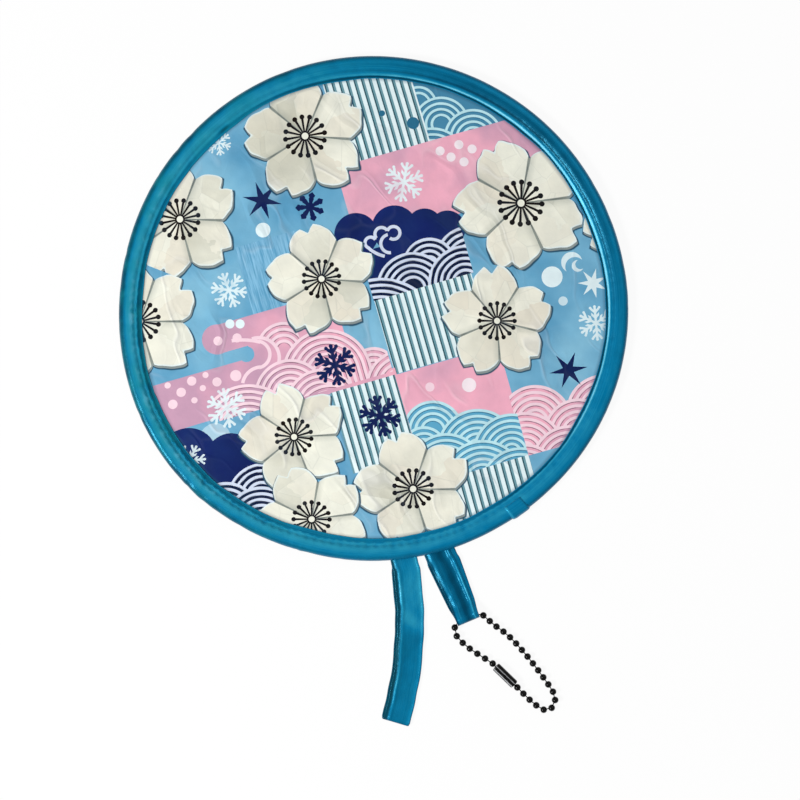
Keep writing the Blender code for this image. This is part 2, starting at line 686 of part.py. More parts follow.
def print_joints(axes):
    """Print where each joint's axis runs in the finished part."""
    for name, pivot, axis in axes:
        place = world_place(pivot)
        print(f"joint {name}", *(f"{value:.6f}" for value in (*place, *axis)))


def main():
    """Build the whole fan."""
    clear_scene()
    surfaces = {
        "satin": material("satin_teal", linear(*SATIN_COLOUR), 0.35, 0.0),
        "print": material("print_fabric", linear(*PRINT_COLOUR), 0.8, 0.0),
        "thread": material("thread_teal", linear(*THREAD_COLOUR), 0.6, 0.0),
        "steel": material("spring_steel", linear(*STEEL_COLOUR), 0.35, 1.0),
        "sleeve": material("sleeve_metal", linear(*SLEEVE_COLOUR), 0.3, 1.0),
        "black": material("black_metal", linear(*BLACK_COLOUR), 0.25, 0.9),
    }
    frame = add_pivot("fan_frame", (0.0, 0.0, 0.0))
    lower, upper = build_fan(frame, surfaces)
    strap, tab = build_tapes(lower, surfaces)
    axes = [("hoop_flex", upper, Vector((1.0, 0.0, 0.0))),
            ("strap_swing", strap, -across(STRAP_BEARING)),
            ("tab_swing", tab, -across(TAB_BEARING)),
            *build_chain(tab, surfaces)]
    centre_on_box(frame)
    print_joints(axes)


main()
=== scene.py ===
"""Looks of a twist-folding round hand fan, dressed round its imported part.

Lengths are metres in the part's frame, where the fan lies print side up. A
bearing is an angle at the disc's middle, counted from -Y towards +X. The print
is drawn in millimetres from the disc's middle, x to the right and y away from
the strap, and an angle in it is counted from x towards y.
"""

import json
import math

import bmesh
import bpy
import numpy as np
from bpy.props import FloatProperty, FloatVectorProperty, IntProperty, PointerProperty
from bpy.types import Operator, Panel, PropertyGroup
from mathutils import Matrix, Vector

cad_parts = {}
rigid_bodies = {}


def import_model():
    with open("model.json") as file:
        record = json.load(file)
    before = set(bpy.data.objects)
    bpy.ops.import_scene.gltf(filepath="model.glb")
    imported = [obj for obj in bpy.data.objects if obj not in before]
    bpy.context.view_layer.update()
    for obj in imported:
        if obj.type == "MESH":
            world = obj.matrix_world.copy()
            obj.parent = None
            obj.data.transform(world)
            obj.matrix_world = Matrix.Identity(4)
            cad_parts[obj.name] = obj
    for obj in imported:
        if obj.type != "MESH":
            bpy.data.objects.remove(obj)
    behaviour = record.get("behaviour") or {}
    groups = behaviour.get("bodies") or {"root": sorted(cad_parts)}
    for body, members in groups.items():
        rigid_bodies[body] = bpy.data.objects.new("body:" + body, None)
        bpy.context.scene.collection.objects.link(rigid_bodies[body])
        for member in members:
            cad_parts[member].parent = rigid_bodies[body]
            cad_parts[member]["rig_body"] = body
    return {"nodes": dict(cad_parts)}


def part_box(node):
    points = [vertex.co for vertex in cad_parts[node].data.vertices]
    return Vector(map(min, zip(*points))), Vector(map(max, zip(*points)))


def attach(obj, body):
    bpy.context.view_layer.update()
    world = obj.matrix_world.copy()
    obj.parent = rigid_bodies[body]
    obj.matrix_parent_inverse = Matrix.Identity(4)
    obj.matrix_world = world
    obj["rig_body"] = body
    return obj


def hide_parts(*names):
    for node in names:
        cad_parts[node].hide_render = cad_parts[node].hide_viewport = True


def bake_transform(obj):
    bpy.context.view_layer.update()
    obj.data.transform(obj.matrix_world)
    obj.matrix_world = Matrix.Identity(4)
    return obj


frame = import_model()

bl_info = {
    "name": "Twist-Folding Hand Fan",
    "version": (1, 0, 0),
    "blender": (4, 5, 0),
    "location": "3D View > Sidebar > Hand Fan",
    "description": "Builds the cloth, satin binding, tapes and ball chain of a round hand fan",
    "category": "Add Mesh",
}

MM = 0.001
TURN = 2.0 * math.pi
QUARTER_TURN = TURN / 4.0
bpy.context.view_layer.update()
RIM_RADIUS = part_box("binding_upper")[1].x
MIDDLE = np.array([0.0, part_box("binding_upper")[1].y - RIM_RADIUS, 0.0])

# Section of the binding as (radius, height) in millimetres: its outer face from
# the flange's upper tip to the rim, and the lower half of its hollow. The other
# half of each mirrors it
BINDING_EDGE = (
    (91.12, 2.78), (90.98, 2.88), (91.12, 2.98), (91.60, 3.02), (92.05, 3.12), (92.40, 3.36),
    (92.75, 3.62), (93.15, 3.77), (93.60, 3.84), (93.95, 4.02), (94.35, 4.32), (94.90, 4.62),
    (95.80, 4.88), (97.00, 4.96), (98.10, 4.86), (99.00, 4.50), (99.62, 3.84), (99.97, 2.95),
)
BINDING_HOLLOW = (
    (94.40, 2.20), (94.75, 1.45), (95.70, 0.85), (97.10, 0.60), (98.50, 0.85), (99.30, 1.55),
    (99.48, 2.50),
)
RIM_POINT = (99.99, 2.5)
# The tube's middle, as its radius and its height
TUBE_RADIUS = 97.1
TUBE_LEVEL = 2.5
# The seam's radius, its stitches, and its two places across the tape
SEAM_RADIUS = 93.6
STITCH_PITCH = 3.4
SEAM_ACROSS = (2.95, 20.7)
# Where the turned-over end lies, in degrees, and half its length
LAP_BEARING, LAP_HALF = 36.0, 4.0
# The printed cloth, held in the binding's flange, and the width that its UV map spans
CLOTH_RADIUS = 94.1
CHART_WIDTH = 200.0
# How far the sprung hoop stands out of its circle, in millimetres, by bearing
RIM_DRIFT = (
    (0, -1.02), (10, -1.08), (20, -0.92), (30, -1.00), (45, -0.55), (60, 0.02), (75, 0.42),
    (85, 0.46), (95, 0.36), (105, 0.05), (120, -0.22), (135, -0.30), (150, -0.48), (165, -0.50),
    (180, -0.46), (205, -0.46), (225, -0.72), (240, -0.55), (255, -0.52), (268, -0.25), (280, 0.22),
    (295, 0.86), (307, 0.94), (317, 0.85), (325, 0.15), (335, -0.45), (345, -0.98), (360, -1.02),
)

# Bead centres in millimetres from the disc's middle, from the clasp round the
# loop, through the tab and back to the clasp
BEADS = (
    (54.40, -146.45, 1.80), (56.84, -148.81, 1.20), (59.22, -151.27, 1.20), (61.66, -153.66, 1.20),
    (64.27, -155.86, 1.20), (67.20, -157.58, 1.20), (70.34, -156.85, 1.20), (71.70, -153.76, 1.20),
    (70.85, -150.51, 1.20), (69.02, -147.63, 1.20), (67.03, -144.85, 1.20), (65.02, -142.09, 1.20),
    (62.96, -139.36, 1.20), (60.84, -136.68, 1.20), (58.62, -134.08, 1.20), (56.35, -131.53, 1.20),
    (53.96, -129.08, 1.20), (51.37, -126.86, 1.30), (48.60, -124.87, 1.48), (45.98, -122.69, 1.68),
    (43.43, -120.44, 1.91), (40.17, -119.67, 2.05), (37.03, -120.98, 2.05), (33.92, -122.32, 2.05),
    (32.20, -125.20, 1.91), (32.98, -128.62, 1.66), (35.35, -131.28, 1.38), (38.12, -133.55, 1.20),
    (41.09, -135.57, 1.20), (44.13, -137.48, 1.20), (47.13, -139.43, 1.20), (49.58, -141.79, 1.80),
)
# Tapes: where each is sewn in, and how it runs, in millimetres and degrees
STRAP_BEARING, STRAP_HEADINGS, STRAP_LENGTH = 7.1, (9.5, -16.5), 63.2
TAB_BEARING, TAB_HEADING, TAB_LENGTH, TAB_WIDTHS = 15.5, 23.0, 27.8, (12.4, 9.2)
# Where a tape leaves the tube, how far it is tucked in, the heights of its two
# layers, and the height and the stretch of a band beside its seam
TAPE_REACH = 100.95
TAPE_TUCK = 3.2
TAPE_LEVELS = (0.25, 1.05)
TAPE_HINGE, TAPE_BEND = 0.65, (-0.8, 4.0)
# The tab's tunnel for the chain, and how its upper layer comes down from there,
# as (distance before the tunnel's middle, height)
TUNNEL_RADIUS = 1.8
TAB_FALL = ((2.6, 2.7), (4.6, 1.5), (7.0, 1.05), (9.0, 1.05))
# Half the thickness and half the height of the spring wire
WIRE_HALVES = (0.3, 1.25)
# The clasp's sheet, the radius of its open ends and the round of its shoulders
CLASP_WALL, CLASP_LIP, CLASP_KNEE = 0.32, 0.6, 0.55
# Threads: the cloth's weave, the satin's floats along and across the tape, and
# the sewing thread's plies along and round it
WEAVE_PITCH = 0.42
SATIN_PITCHES = (0.9, 0.22)
PLY_PITCHES = (0.55, 1.3)
# The floor's level, the picture's middle, and the lamps as (name, place, watts,
# width), with the lamps' lengths in metres
FLOOR_LEVEL = -0.02
VIEW_MIDDLE = (10.65, -35.7, 2.5)
LAMPS = (("key", (-0.66, -0.30, 0.72), 9.6, 0.26), ("fill", (0.5, 0.6, 1.0), 1.8, 0.8))
WHITE = (1.0, 1.0, 1.0, 1.0)

# The print. Blossoms are (x, y, radius, turn in degrees), the upper ones drawn last
BLOSSOMS = (
    (-26.7, 68.1, 23.6, 32), (-76.2, 35.5, 22.8, 34), (-91.7, -4.8, 22.8, 36),
    (-20.2, 11.9, 21.2, 32), (58.2, 41.7, 25.2, 43), (48.8, -4.6, 21.0, 22),
    (-31.0, -50.2, 20.8, 39), (15.8, -70.7, 22.4, 35), (105.4, 37.0, 22.8, 57),
)
UPPER_BLOSSOMS = ((-24.3, -83.3, 21.6, 44),)
PETALS, STAMENS = 5.0, 16.0
# How far the printed thickness lies below a blossom, and a spot round which the petals get painted
# shade
THICKNESS_SHIFT = (0.3, -0.85, 0.0)
SHADED_PETAL_SPOT = (-42.0, 60.0, 0.0)
# Blocks are (middle x, y, width, height), all turned alike
BLOCK_TURN = math.radians(16.0)
BLOCKS = {
    "faint_lines": (-37.4, 10.3, 25.2, 35.9),
    "top_waves": (59.3, 97.2, 88.2, 41.2),
    "top_stripes": (0.2, 81.1, 34.4, 41.8),
    "top_pink": (30.1, 52.4, 84.4, 30.6),
    "top_navy": (17.2, 18.3, 40.7, 19.9),
    "navy_waves": (16.6, 20.5, 40.7, 24.3),
    "middle_stripes": (23.7, -5.7, 39.6, 30.0),
    "pink_bar": (-45.9, -7.6, 35.4, 11.2),
    "pink_body": (-27.4, -21.4, 37.7, 28.3),
    "pink_band": (-47.3, -28.9, 74.8, 19.2),
    "pink_foot": (-4.6, -28.3, 28.3, 3.0),
    "pink_hill": (-39.9, -14.0, 22.7, 18.0),
    "bay": (-37.7, -15.9, 19.4, 22.9),
    "pink_waves": (-30.6, -18.7, 70.8, 32.3),
    "lower_stripes": (0.5, -45.2, 26.4, 33.0),
    "small_pink": (32.7, -33.3, 42.2, 27.5),
    "side_waves": (80.1, -35.1, 50.7, 33.3),
    "blue_waves": (36.1, -45.4, 41.9, 37.0),
    "bottom_stripes": (46.9, -72.7, 36.3, 21.3),
    "low_navy": (-60.5, -70.2, 48.3, 23.5),
    "low_waves": (-46.7, -70.5, 38.7, 28.3),
}
# Pitches of the lines in a wave, and of the stripes
CREST_PITCH = 2.3
STRIPE_PITCH = 2.9
# Wave crests are (x, y, radius), each drawn over the ones before it
CRESTS = {
    "top_waves": ((18.1, 81.1, 7.1), (27.0, 72.8, 11.2), (39.7, 67.3, 11.8), (23.6, 57.9, 13.6)),
    "navy_waves": (
        (38.6, 18.2, 14.7), (22.3, 17.6, 10.5), (15.8, 7.9, 14.5), (36.6, 10.3, 14.9),
        (3.2, -12.5, 24.8),
    ),
    "pink_hill": ((-34.9, -16.0, 11.0),),
    "pink_waves": (
        (0.4, -24.3, 9.4), (-18.0, -25.5, 17.7), (11.8, -30.2, 14.5), (-32.3, -33.8, 14.2),
        (-20.0, -37.7, 14.3), (-48.7, -49.5, 20.0), (-16.5, -43.6, 14.2),
    ),
    "side_waves": (
        (90.5, -40.0, 14.5), (63.9, -44.3, 14.5), (80.8, -48.5, 13.5), (60.2, -55.7, 15.3),
        (77.5, -60.5, 14.9), (59.8, -67.9, 14.9),
    ),
    "blue_waves": (
        (23.6, -47.9, 12.0), (20.1, -55.0, 9.0), (41.3, -55.3, 16.1), (54.7, -56.5, 15.5),
        (28.9, -64.4, 15.7), (43.3, -67.9, 16.5), (58.2, -70.7, 16.3),
    ),
    "low_waves": ((-43.6, -73.8, 13.2), (-57.7, -79.9, 12.4), (-44.0, -84.0, 14.3)),
}
# Round lobes and dots are (x, y, radius)
LOBES = {
    "top_navy": ((-6.6, 29.2, 8.6), (8.5, 31.8, 9.0), (20.3, 32.5, 7.1), (29.3, 31.7, 7.1)),
    "pink": ((-61.3, -11.9, 5.9), (-77.8, -36.5, 8.6)),
    "inlet": ((-49.7, -17.7, 3.1),),
    "bay": ((-44.8, -19.2, 8.5),),
    "low_navy": ((-71.9, -57.3, 11.0), (-55.8, -58.1, 9.4)),
}
DOTS = {
    "white": ((70.4, 12.7, 4.1), (-43.2, 31.1, 2.9), (-56.2, -5.8, 1.8), (-52.2, -5.8, 1.8)),
    "blush": (
        (26.4, 62.2, 1.8), (33.8, 64.7, 1.8), (39.0, 63.0, 1.8), (30.7, 59.8, 1.8),
        (35.8, 57.9, 1.8), (37.8, -29.8, 2.8),
    ),
    "soft": ((74.7, 3.2, 1.8),),
    "rosy": (
        (-60.9, -12.5, 1.8), (-53.4, -11.3, 1.8), (-71.1, -28.2, 1.8), (-65.8, -25.9, 1.2),
        (-61.3, -28.6, 1.8), (-75.0, -32.5, 1.8), (-66.8, -31.0, 1.2), (-69.9, -35.7, 1.2),
        (-78.0, -37.1, 1.8), (-80.2, -29.8, 1.2), (22.4, -30.6, 1.8), (-53.9, -26.1, 2.2),
    ),
    "mist": ((-61.7, -50.6, 5.9),),
    "blue": ((15.8, 73.2, 2.4), (3.6, 77.1, 1.2)),
}
# Snow crystals and stars are (x, y, radius, turn in degrees)
PALE_CRYSTALS = (
    (-56.6, 7.5, 7.1, 52), (-57.5, -38.8, 7.9, 40), (12.2, 50.0, 7.9, 20), (87.3, -5.4, 6.9, 35),
    (-61.1, 65.9, 5.1, 40), (-71.3, -58.9, 6.3, 5),
)
DARK_CRYSTALS = ((-14.9, -21.9, 8.1, 43), (2.8, -42.0, 8.1, 46))
DARK_STARS = ((-43.5, 42.7, 7.9, 50), (76.7, -23.9, 7.5, 10))
PALE_STARS = ((86.2, 10.2, 5.9, 25.7),)
DARK_FLOWERS = ((-24.7, 40.2, 5.9, 30),)
# Moons are (x, y, radius) of a disc and of the disc cut out of it
PALE_MOONS = ((78.1, 18.4, 4.1, 79.4, 16.7, 3.8), (80.4, 17.0, 2.3, 81.4, 17.6, 1.9))
# Curls are strokes along a ring: (x, y, radius, first and last angle in degrees)
NAVY_CURLS = (
    (6.7, 25.8, 3.6, 104, 276), (8.1, 30.0, 2.5, -125, 163), (3.4, 29.5, 2.6, 32, 218),
    (-0.9, 26.1, 2.2, 32, 255), (7.5, 34.3, 13.8, 228, 258),
)
PINK_CURLS = (
    (-45.8, -17.8, 5.3, -78, 80), (-43.6, -30.4, 7.7, 94, 170), (-44.8, -19.2, 8.0, -15, 110),
    (-51.1, -40.4, 28.3, 76, 99),
)


def hue(code):
    """Turn a six-digit display colour into linear red, green, blue and opacity."""
    shares = [int(code[i:i + 2], 16) / 255.0 for i in (0, 2, 4)]
    return (*(s / 12.92 if s <= 0.04045 else ((s + 0.055) / 1.055) ** 2.4 for s in shares), 1.0)


def length_property(name, description, default):
    """Describe one length for the panel."""
    return FloatProperty(name=name, description=description, default=default, min=0.0,
                         unit="LENGTH")


def colour_property(name, description, code):
    """Describe one colour for the panel."""
    return FloatVectorProperty(name=name, description=description, default=hue(code), size=4,
                               min=0.0, max=1.0, subtype="COLOR")


class FanSizes(PropertyGroup):
    """Sizes that change how the fan's pieces are shaped."""

    stitch_pitch: length_property(
        "Stitch pitch", "One stitch with the gap after it", STITCH_PITCH * MM)
    thread_diameter: length_property("Thread", "Diameter of the sewing thread", 0.42 * MM)
    pucker_depth: length_property("Pucker", "How far each stitch draws the tape in", 0.26 * MM)
    fold_depth: length_property(
        "Binding folds", "How deep the binding's small folds are", 0.26 * MM)
    crease_depth: length_property(
        "Cloth creases", "How high the printed cloth's creases stand", 0.34 * MM)
    tape_thickness: length_property(
        "Tape", "Thickness of the strap's and the tab's tape", 0.46 * MM)
    strap_width: length_property("Strap width", "Width of the strap's tape", 10.6 * MM)
    bead_diameter: length_property("Bead", "Diameter of a ball of the chain", 2.7 * MM)
    wire_diameter: length_property("Link wire", "Diameter of the wire between two balls", 0.46 * MM)
    clasp_length: length_property("Clasp length", "Length of the chain's clasp", 10.4 * MM)
    clasp_diameter: length_property(
        "Clasp diameter", "Outside diameter of the chain's clasp", 3.6 * MM)
    camera_height: length_property("Camera height", "Height of the camera over the fan", 1.0)
    view_width: length_property("View width", "Width of the picture at the fan", 0.3145)
    seed: IntProperty(name="Seed", description="Chooses the random folds and creases", default=7)


class FanColours(PropertyGroup):
    """Colours of the fan's finishes."""

    satin: colour_property("Satin", "Teal satin tape", "00709C")
    # Painted shade, where the satin turns from the light or lies under another layer
    satin_deep: colour_property(
        "Satin in folds", "Satin where it turns away or lies under", "003F5C")
    # Painted highlight, where the satin's threads catch the light
    satin_pale: colour_property("Satin ridge", "Satin where its threads catch the light", "83D6F0")
    # Darkest painted shade, in the satin's deepest folds
    satin_dark: colour_property("Satin edge", "Satin in its deepest folds", "0A2628")
    # Painted sheen: lighter streaks along the satin, the light painted on its lit parts, and the
    # crests of the thread's plies
    satin_light: colour_property("Satin streak", "Lighter threads of the satin", "2A93B2")
    # Greener satin painted in blotches towards the left of the fan, where light falls
    satin_worn: colour_property("Lit satin", "Greener, faded parts of the satin", "14808A")
    thread: colour_property("Thread", "Sewing thread of the binding", "0A7BA3")
    sky: colour_property("Sky", "Ground of the print", "5B9DC2")
    sky_pale: colour_property("Pale sky", "Washed parts of the ground", "86BFDA")
    pink: colour_property("Pink", "Pink clouds", "F0AEC2")
    rose: colour_property("Rose", "Deeper pink at the clouds' edges", "C79BB3")
    navy: colour_property("Navy", "Dark clouds, stars and crystals", "0C174E")
    white: colour_property("White", "Pale stripes, dots and crystals", "E4F5F8")
    stripe: colour_property("Stripe", "Dark part of the stripes", "6B98A3")
    stripe_edge: colour_property("Stripe edge", "Thin line beside each stripe", "29545F")
    wave: colour_property("Wave", "Blue of the pale waves", "5CA6C8")
    sky_line: colour_property("Faint line", "Lines of the washed block of the ground", "8CC3E2")
    navy_pale: colour_property("Washed navy", "Washed parts of the dark clouds", "15276C")
    navy_deep: colour_property("Deep navy", "Ground of the dark waves", "0B1538")
    navy_line: colour_property("Navy wave line", "Lines of the dark waves", "D3DDF0")
    wave_deep: colour_property("Deep wave", "Ground of the upper waves", "4787A8")
    wave_line: colour_property("Wave line", "Lines of the blue waves", "BCE6EE")
    wave_edge: colour_property("Wave edge", "Thin line beside a blue wave's line", "2A6C8C")
    pink_line: colour_property("Pink wave line", "Lines of the pink waves", "F6D6E1")
    blush: colour_property("Blush", "Dots on the pink clouds", "F7E9EF")
    pink_edge: colour_property("Pink wave edge", "Thin line beside a pink wave's line", "85596D")
    petal: colour_property("Petal", "Tips of the blossoms' petals", "EFEFE0")
    petal_root: colour_property("Petal root", "Petals near the blossom's middle", "BDBBA9")
    petal_flush: colour_property("Petal flush", "Warm patches of the petals", "DCD0BC")
    petal_under: colour_property("Petal under", "Printed thickness below the petals", "8A9492")
    petal_line: colour_property("Petal line", "Lines between petals", "8E958D")
    shadow: colour_property("Printed shadow", "Edge printed below each blossom", "234A62")
    # Painted highlight on the cloth's creases and crumple lines
    crease_light: colour_property("Crease", "Light on the cloth's creases", "FFFFFF")
    crease_shade: colour_property("Crease shade", "Shade beside the cloth's creases", "3A4A66")
    hem_shade: colour_property(
        "Hem shade", "Shade beside the binding and in soft blotches", "27506B")
    cloth_back: colour_property("Cloth back", "Bare yarn that shows on the underside", "C9D3D6")
    stamen: colour_property("Stamen", "Stamens of the blossoms", "160D05")
    steel: colour_property("Steel", "Spring hoop and its sleeve", "9A9C9E")
    lacquer: colour_property("Lacquer", "Black coat of the chain", "040404")
    # Painted highlight: two pale lines along the clasp where its coat catches the light
    rubbed: colour_property("Highlit coat", "Pale lines where the clasp's coat is rubbed", "A9ABAE")


def smooth_line(points, count):
    """Resample a smooth curve through the points (Catmull-Rom) at even distances."""
    knots = np.asarray(points, float)
    knots = np.vstack([2.0 * knots[:1] - knots[1:2], knots, 2.0 * knots[-1:] - knots[-2:-1]])
    a, b, c, d = (knots[k:len(knots) - 3 + k, None] for k in range(4))
    t = np.linspace(0.0, 1.0, 24, endpoint=False)[None, :, None]
    bend, twist = 2.0 * a - 5.0 * b + 4.0 * c - d, 3.0 * b - a - 3.0 * c + d
    fine = (b + ((c - a) * t + bend * t ** 2 + twist * t ** 3) / 2.0).reshape(-1, knots.shape[1])
    fine = np.vstack([fine, knots[-2:-1]])
    walked = walked_length(fine)
    marks = np.linspace(0.0, walked[-1], count)
    return np.stack([np.interp(marks, walked, column) for column in fine.T], axis=1)


def walked_length(points):
    """Return the distance walked along a line of points up to each of them."""
    steps = np.linalg.norm(np.diff(points, axis=0), axis=1)
    return np.concatenate([[0.0], np.cumsum(steps)])


def side_normals(points):
    """Return unit vectors to the left of a line in a plane, from its tangents."""
    tangent = np.gradient(points, axis=0)
    tangent /= np.linalg.norm(tangent, axis=1)[:, None]
    return np.stack([-tangent[:, 1], tangent[:, 0]], axis=1)


def smooth_step(value, low, high):
    """Rise from 0 at low to 1 at high along a cubic with level ends."""
    share = np.clip((value - low) / (high - low), 0.0, 1.0)
    return share * share * (3.0 - 2.0 * share)


def bump(value, middle, width):
    """Return the bell curve exp(-((value - middle) / width)^2)."""
    return np.exp(-((value - middle) / width) ** 2)


def ripple(share, seed, waves):
    """Add up sines of whole waves over a turn, with random phases, to about unit height."""
    maker = np.random.default_rng(seed)
    counts = np.asarray(waves, float)
    phases = maker.uniform(0.0, TURN, len(counts))
    weights = counts.mean() / counts
    angle = np.asarray(share)[..., None] * TURN * counts + phases
    return (np.sin(angle) * weights).sum(axis=-1) / weights.sum() * 1.6


def mirrored(section):
    """Return a section's points below the tube's middle instead of above it, in reverse order."""
    return section[::-1] * (1.0, -1.0) + (0.0, 2.0 * TUBE_LEVEL)


def grid(first, second):
    """Return every pair of two lines of numbers, as a grid of flat places."""
    return np.stack(np.meshgrid(first, second, indexing="ij"), axis=-1)


def polar_spot(bearing, radius, height):
    """Turn bearings, radii and heights into places round the disc's middle."""
    x, y = radius * np.sin(bearing), -radius * np.cos(bearing)
    return np.stack(np.broadcast_arrays(x, y, height), axis=-1) + MIDDLE


def rim_drift(bearing):
    """Return how far the hoop stands out of its circle, between the measured bearings."""
    bearings, drifts = np.array(RIM_DRIFT).T
    return np.interp(np.degrees(bearing) % 360.0, bearings, drifts)


def heading_vector(heading):
    """Return the unit vectors along a heading and to its right, as seen from above."""
    along = np.stack([np.sin(heading), -np.cos(heading)], axis=-1)
    return along, np.stack([np.cos(heading), np.sin(heading)], axis=-1)


def make_surface(name, spots, wrap=(False, False), chart=None, tone=None, material=None):
    """Make a mesh object from one grid of places, or from several alike.

    spots is (copies, steps, steps, 3): a place for each pair of steps of the
    surface's two parameters. wrap says which parameters run round and close.
    chart gives each grid corner's place on the flat cloth, with one more step
    than spots where it wraps, and tone gives each place's painted light and shade.
    """
    if spots.ndim == 3:
        spots = spots[None]
    copies, rows, columns = spots.shape[:3]
    last_i, last_j = rows - (not wrap[0]), columns - (not wrap[1])
    i, j = np.meshgrid(np.arange(last_i), np.arange(last_j), indexing="ij")
    step_i = np.stack([i, i + 1, i + 1, i], axis=-1)
    step_j = np.stack([j, j, j + 1, j + 1], axis=-1)
    corners = ((step_i % rows) * columns + step_j % columns).reshape(1, -1, 4)
    faces = (corners + (np.arange(copies) * rows * columns)[:, None, None]).reshape(-1, 4)
    mesh = bpy.data.meshes.new(name)
    mesh.from_pydata(spots.reshape(-1, 3).tolist(), [], faces.tolist())
    if chart is not None:
        layer = mesh.uv_layers.new(name="cloth")
        flat = np.tile(chart[step_i, step_j].reshape(-1), copies)
        layer.uv.foreach_set("vector", flat.astype(np.float32))
    if tone is not None:
        shade = mesh.attributes.new("tone", "FLOAT", "POINT")
        shade.data.foreach_set("value", np.tile(tone.reshape(-1), copies).astype(np.float32))
    welded = bmesh.new()
    welded.from_mesh(mesh)
    bmesh.ops.remove_doubles(welded, verts=welded.verts, dist=1e-7)
    bmesh.ops.recalc_face_normals(welded, faces=welded.faces)
    welded.to_mesh(mesh)
    welded.free()
    mesh.shade_smooth()
    if material is not None:
        mesh.materials.append(material)
    piece = bpy.data.objects.new(name, mesh)
    bpy.context.scene.collection.objects.link(piece)
    return piece


class Term:
    """A number, place or colour in a node tree; sums on it add nodes."""

    def __init__(self, bench, socket):
        self.bench = bench
        self.socket = socket
        self.place = socket.type == "VECTOR"

    def __add__(self, other):
        return self.bench.math("ADD", self, other)

    def __sub__(self, other):
        return self.bench.math("SUBTRACT", self, other)

    def __rsub__(self, other):
        return self.bench.math("SUBTRACT", other, self)

    def __mul__(self, other):
        return self.bench.math("MULTIPLY", self, other)

    def __truediv__(self, other):
        return self.bench.math("DIVIDE", self, other)

    def __lt__(self, other):
        return self.bench.math("LESS_THAN", self, other)

    def __gt__(self, other):
        return self.bench.math("GREATER_THAN", self, other)

    def __and__(self, other):
        return self.bench.math("MULTIPLY", self, other)

    def __or__(self, other):
        return self.bench.math("MAXIMUM", self, other)

    def __invert__(self):
        return self.bench.math("SUBTRACT", 1.0, self)

    def __abs__(self):
        return self.bench.math("ABSOLUTE", self)


class Bench:
    """A node tree and short calls that each add one node to it."""

    def __init__(self, tree):
        self.tree = tree
        self.made = 0

    def node(self, kind, inputs=(), **options):
        """Add a node with its options, and plug values or terms into its sockets."""
        node = self.tree.nodes.new(kind)
        node.location = (self.made // 10 * 200.0, self.made % 10 * -180.0)
        self.made += 1
        for key, value in options.items():
            setattr(node, key, value)
        for key, value in dict(inputs).items():
            self.plug(node.inputs[key], value)
        return node

    def plug(self, socket, value):
        """Wire a term to a socket, or set the socket's own value."""
        if isinstance(value, Term):
            self.tree.links.new(value.socket, socket)
        elif socket.type == "VECTOR" and isinstance(value, (int, float)):
            socket.default_value = (value, value, value)
        else:
            socket.default_value = value

    def term(self, node, output=0):
        """Return a node's output as a term."""
        return Term(self, node.outputs[output])

    def math(self, operation, *values):
        """Add one step of arithmetic, on places if any value is one."""
        places = any(getattr(v, "place", isinstance(v, tuple)) for v in values)
        kind = "ShaderNodeVectorMath" if places else "ShaderNodeMath"
        return self.term(self.node(kind, enumerate(values), operation=operation))

    def length(self, place):
        """Return a place's distance from the origin."""
        return self.term(self.node("ShaderNodeVectorMath", {0: place}, operation="LENGTH"), 1)

    def distance(self, place, other):
        """Return the distance between two places."""
        inputs = {0: place, 1: other}
        return self.term(self.node("ShaderNodeVectorMath", inputs, operation="DISTANCE"), 1)

    def parts(self, place):
        """Return a place's three numbers."""
        node = self.node("ShaderNodeSeparateXYZ", {0: place})
        return [self.term(node, k) for k in range(3)]

    def join(self, x, y, z=0.0):
        """Return the place made of three numbers."""
        return self.term(self.node("ShaderNodeCombineXYZ", {0: x, 1: y, 2: z}))

    def mix(self, share, first, second, kind="RGBA"):
        """Blend from first, where share is 0, to second, where it is 1."""
        start = {"FLOAT": 2, "VECTOR": 4, "RGBA": 6}[kind]
        inputs = {0: share, start: first, start + 1: second}
        return self.term(self.node("ShaderNodeMix", inputs, data_type=kind), start // 2 - 1)

    def fade(self, value, low, high, first=0.0, last=1.0):
        """Go evenly from first to last as value goes from low to high, and stay there."""
        inputs = {0: value, 1: low, 2: high, 3: first, 4: last}
        return self.term(self.node("ShaderNodeMapRange", inputs))

    def noise(self, place, scale, detail=2.0, roughness=0.5):
        """Return soft noise from about 0 to 1 at a place."""
        inputs = {"Vector": place, "Scale": scale, "Detail": detail, "Roughness": roughness}
        return self.term(self.node("ShaderNodeTexNoise", inputs))

    def uv_map(self):
        """Return the place on the piece's flat cloth."""
        return self.term(self.node("ShaderNodeUVMap", uv_map="cloth"))

    def object_place(self):
        """Return the place on the piece itself, in millimetres."""
        return self.term(self.node("ShaderNodeTexCoord"), 3) * (1.0 / MM)

    def relief(self, shader, height, strength):
        """Raise a shader's surface by a height in millimetres."""
        inputs = {"Height": height, "Distance": MM, "Strength": strength}
        self.plug(shader.inputs["Normal"], self.term(self.node("ShaderNodeBump", inputs)))

    def finish(self, shader, **values):
        """Plug values or terms into a shader's sockets, whose names are given in small letters."""
        for key, value in values.items():
            label = key.replace("_", " ").title().replace("Ior", "IOR")
            self.plug(shader.inputs[label], value)

    def fold(self, value, period):
        """Return how far a number lies from the nearest whole multiple of a period, signed."""
        return self.math("WRAP", value, period / 2.0, -period / 2.0)

    def turned(self, place, middle, turn):
        """Return a place as seen from a middle, turned back by an angle about z."""
        inputs = {"Vector": place - middle, "Angle": turn}
        return self.term(self.node("ShaderNodeVectorRotate", inputs,
                                   rotation_type="Z_AXIS", invert=True))

    def polar(self, place):
        """Return a place's distance from the origin and its angle."""
        x, y, _ = self.parts(place)
        return self.length(place), self.math("ARCTAN2", y, x)


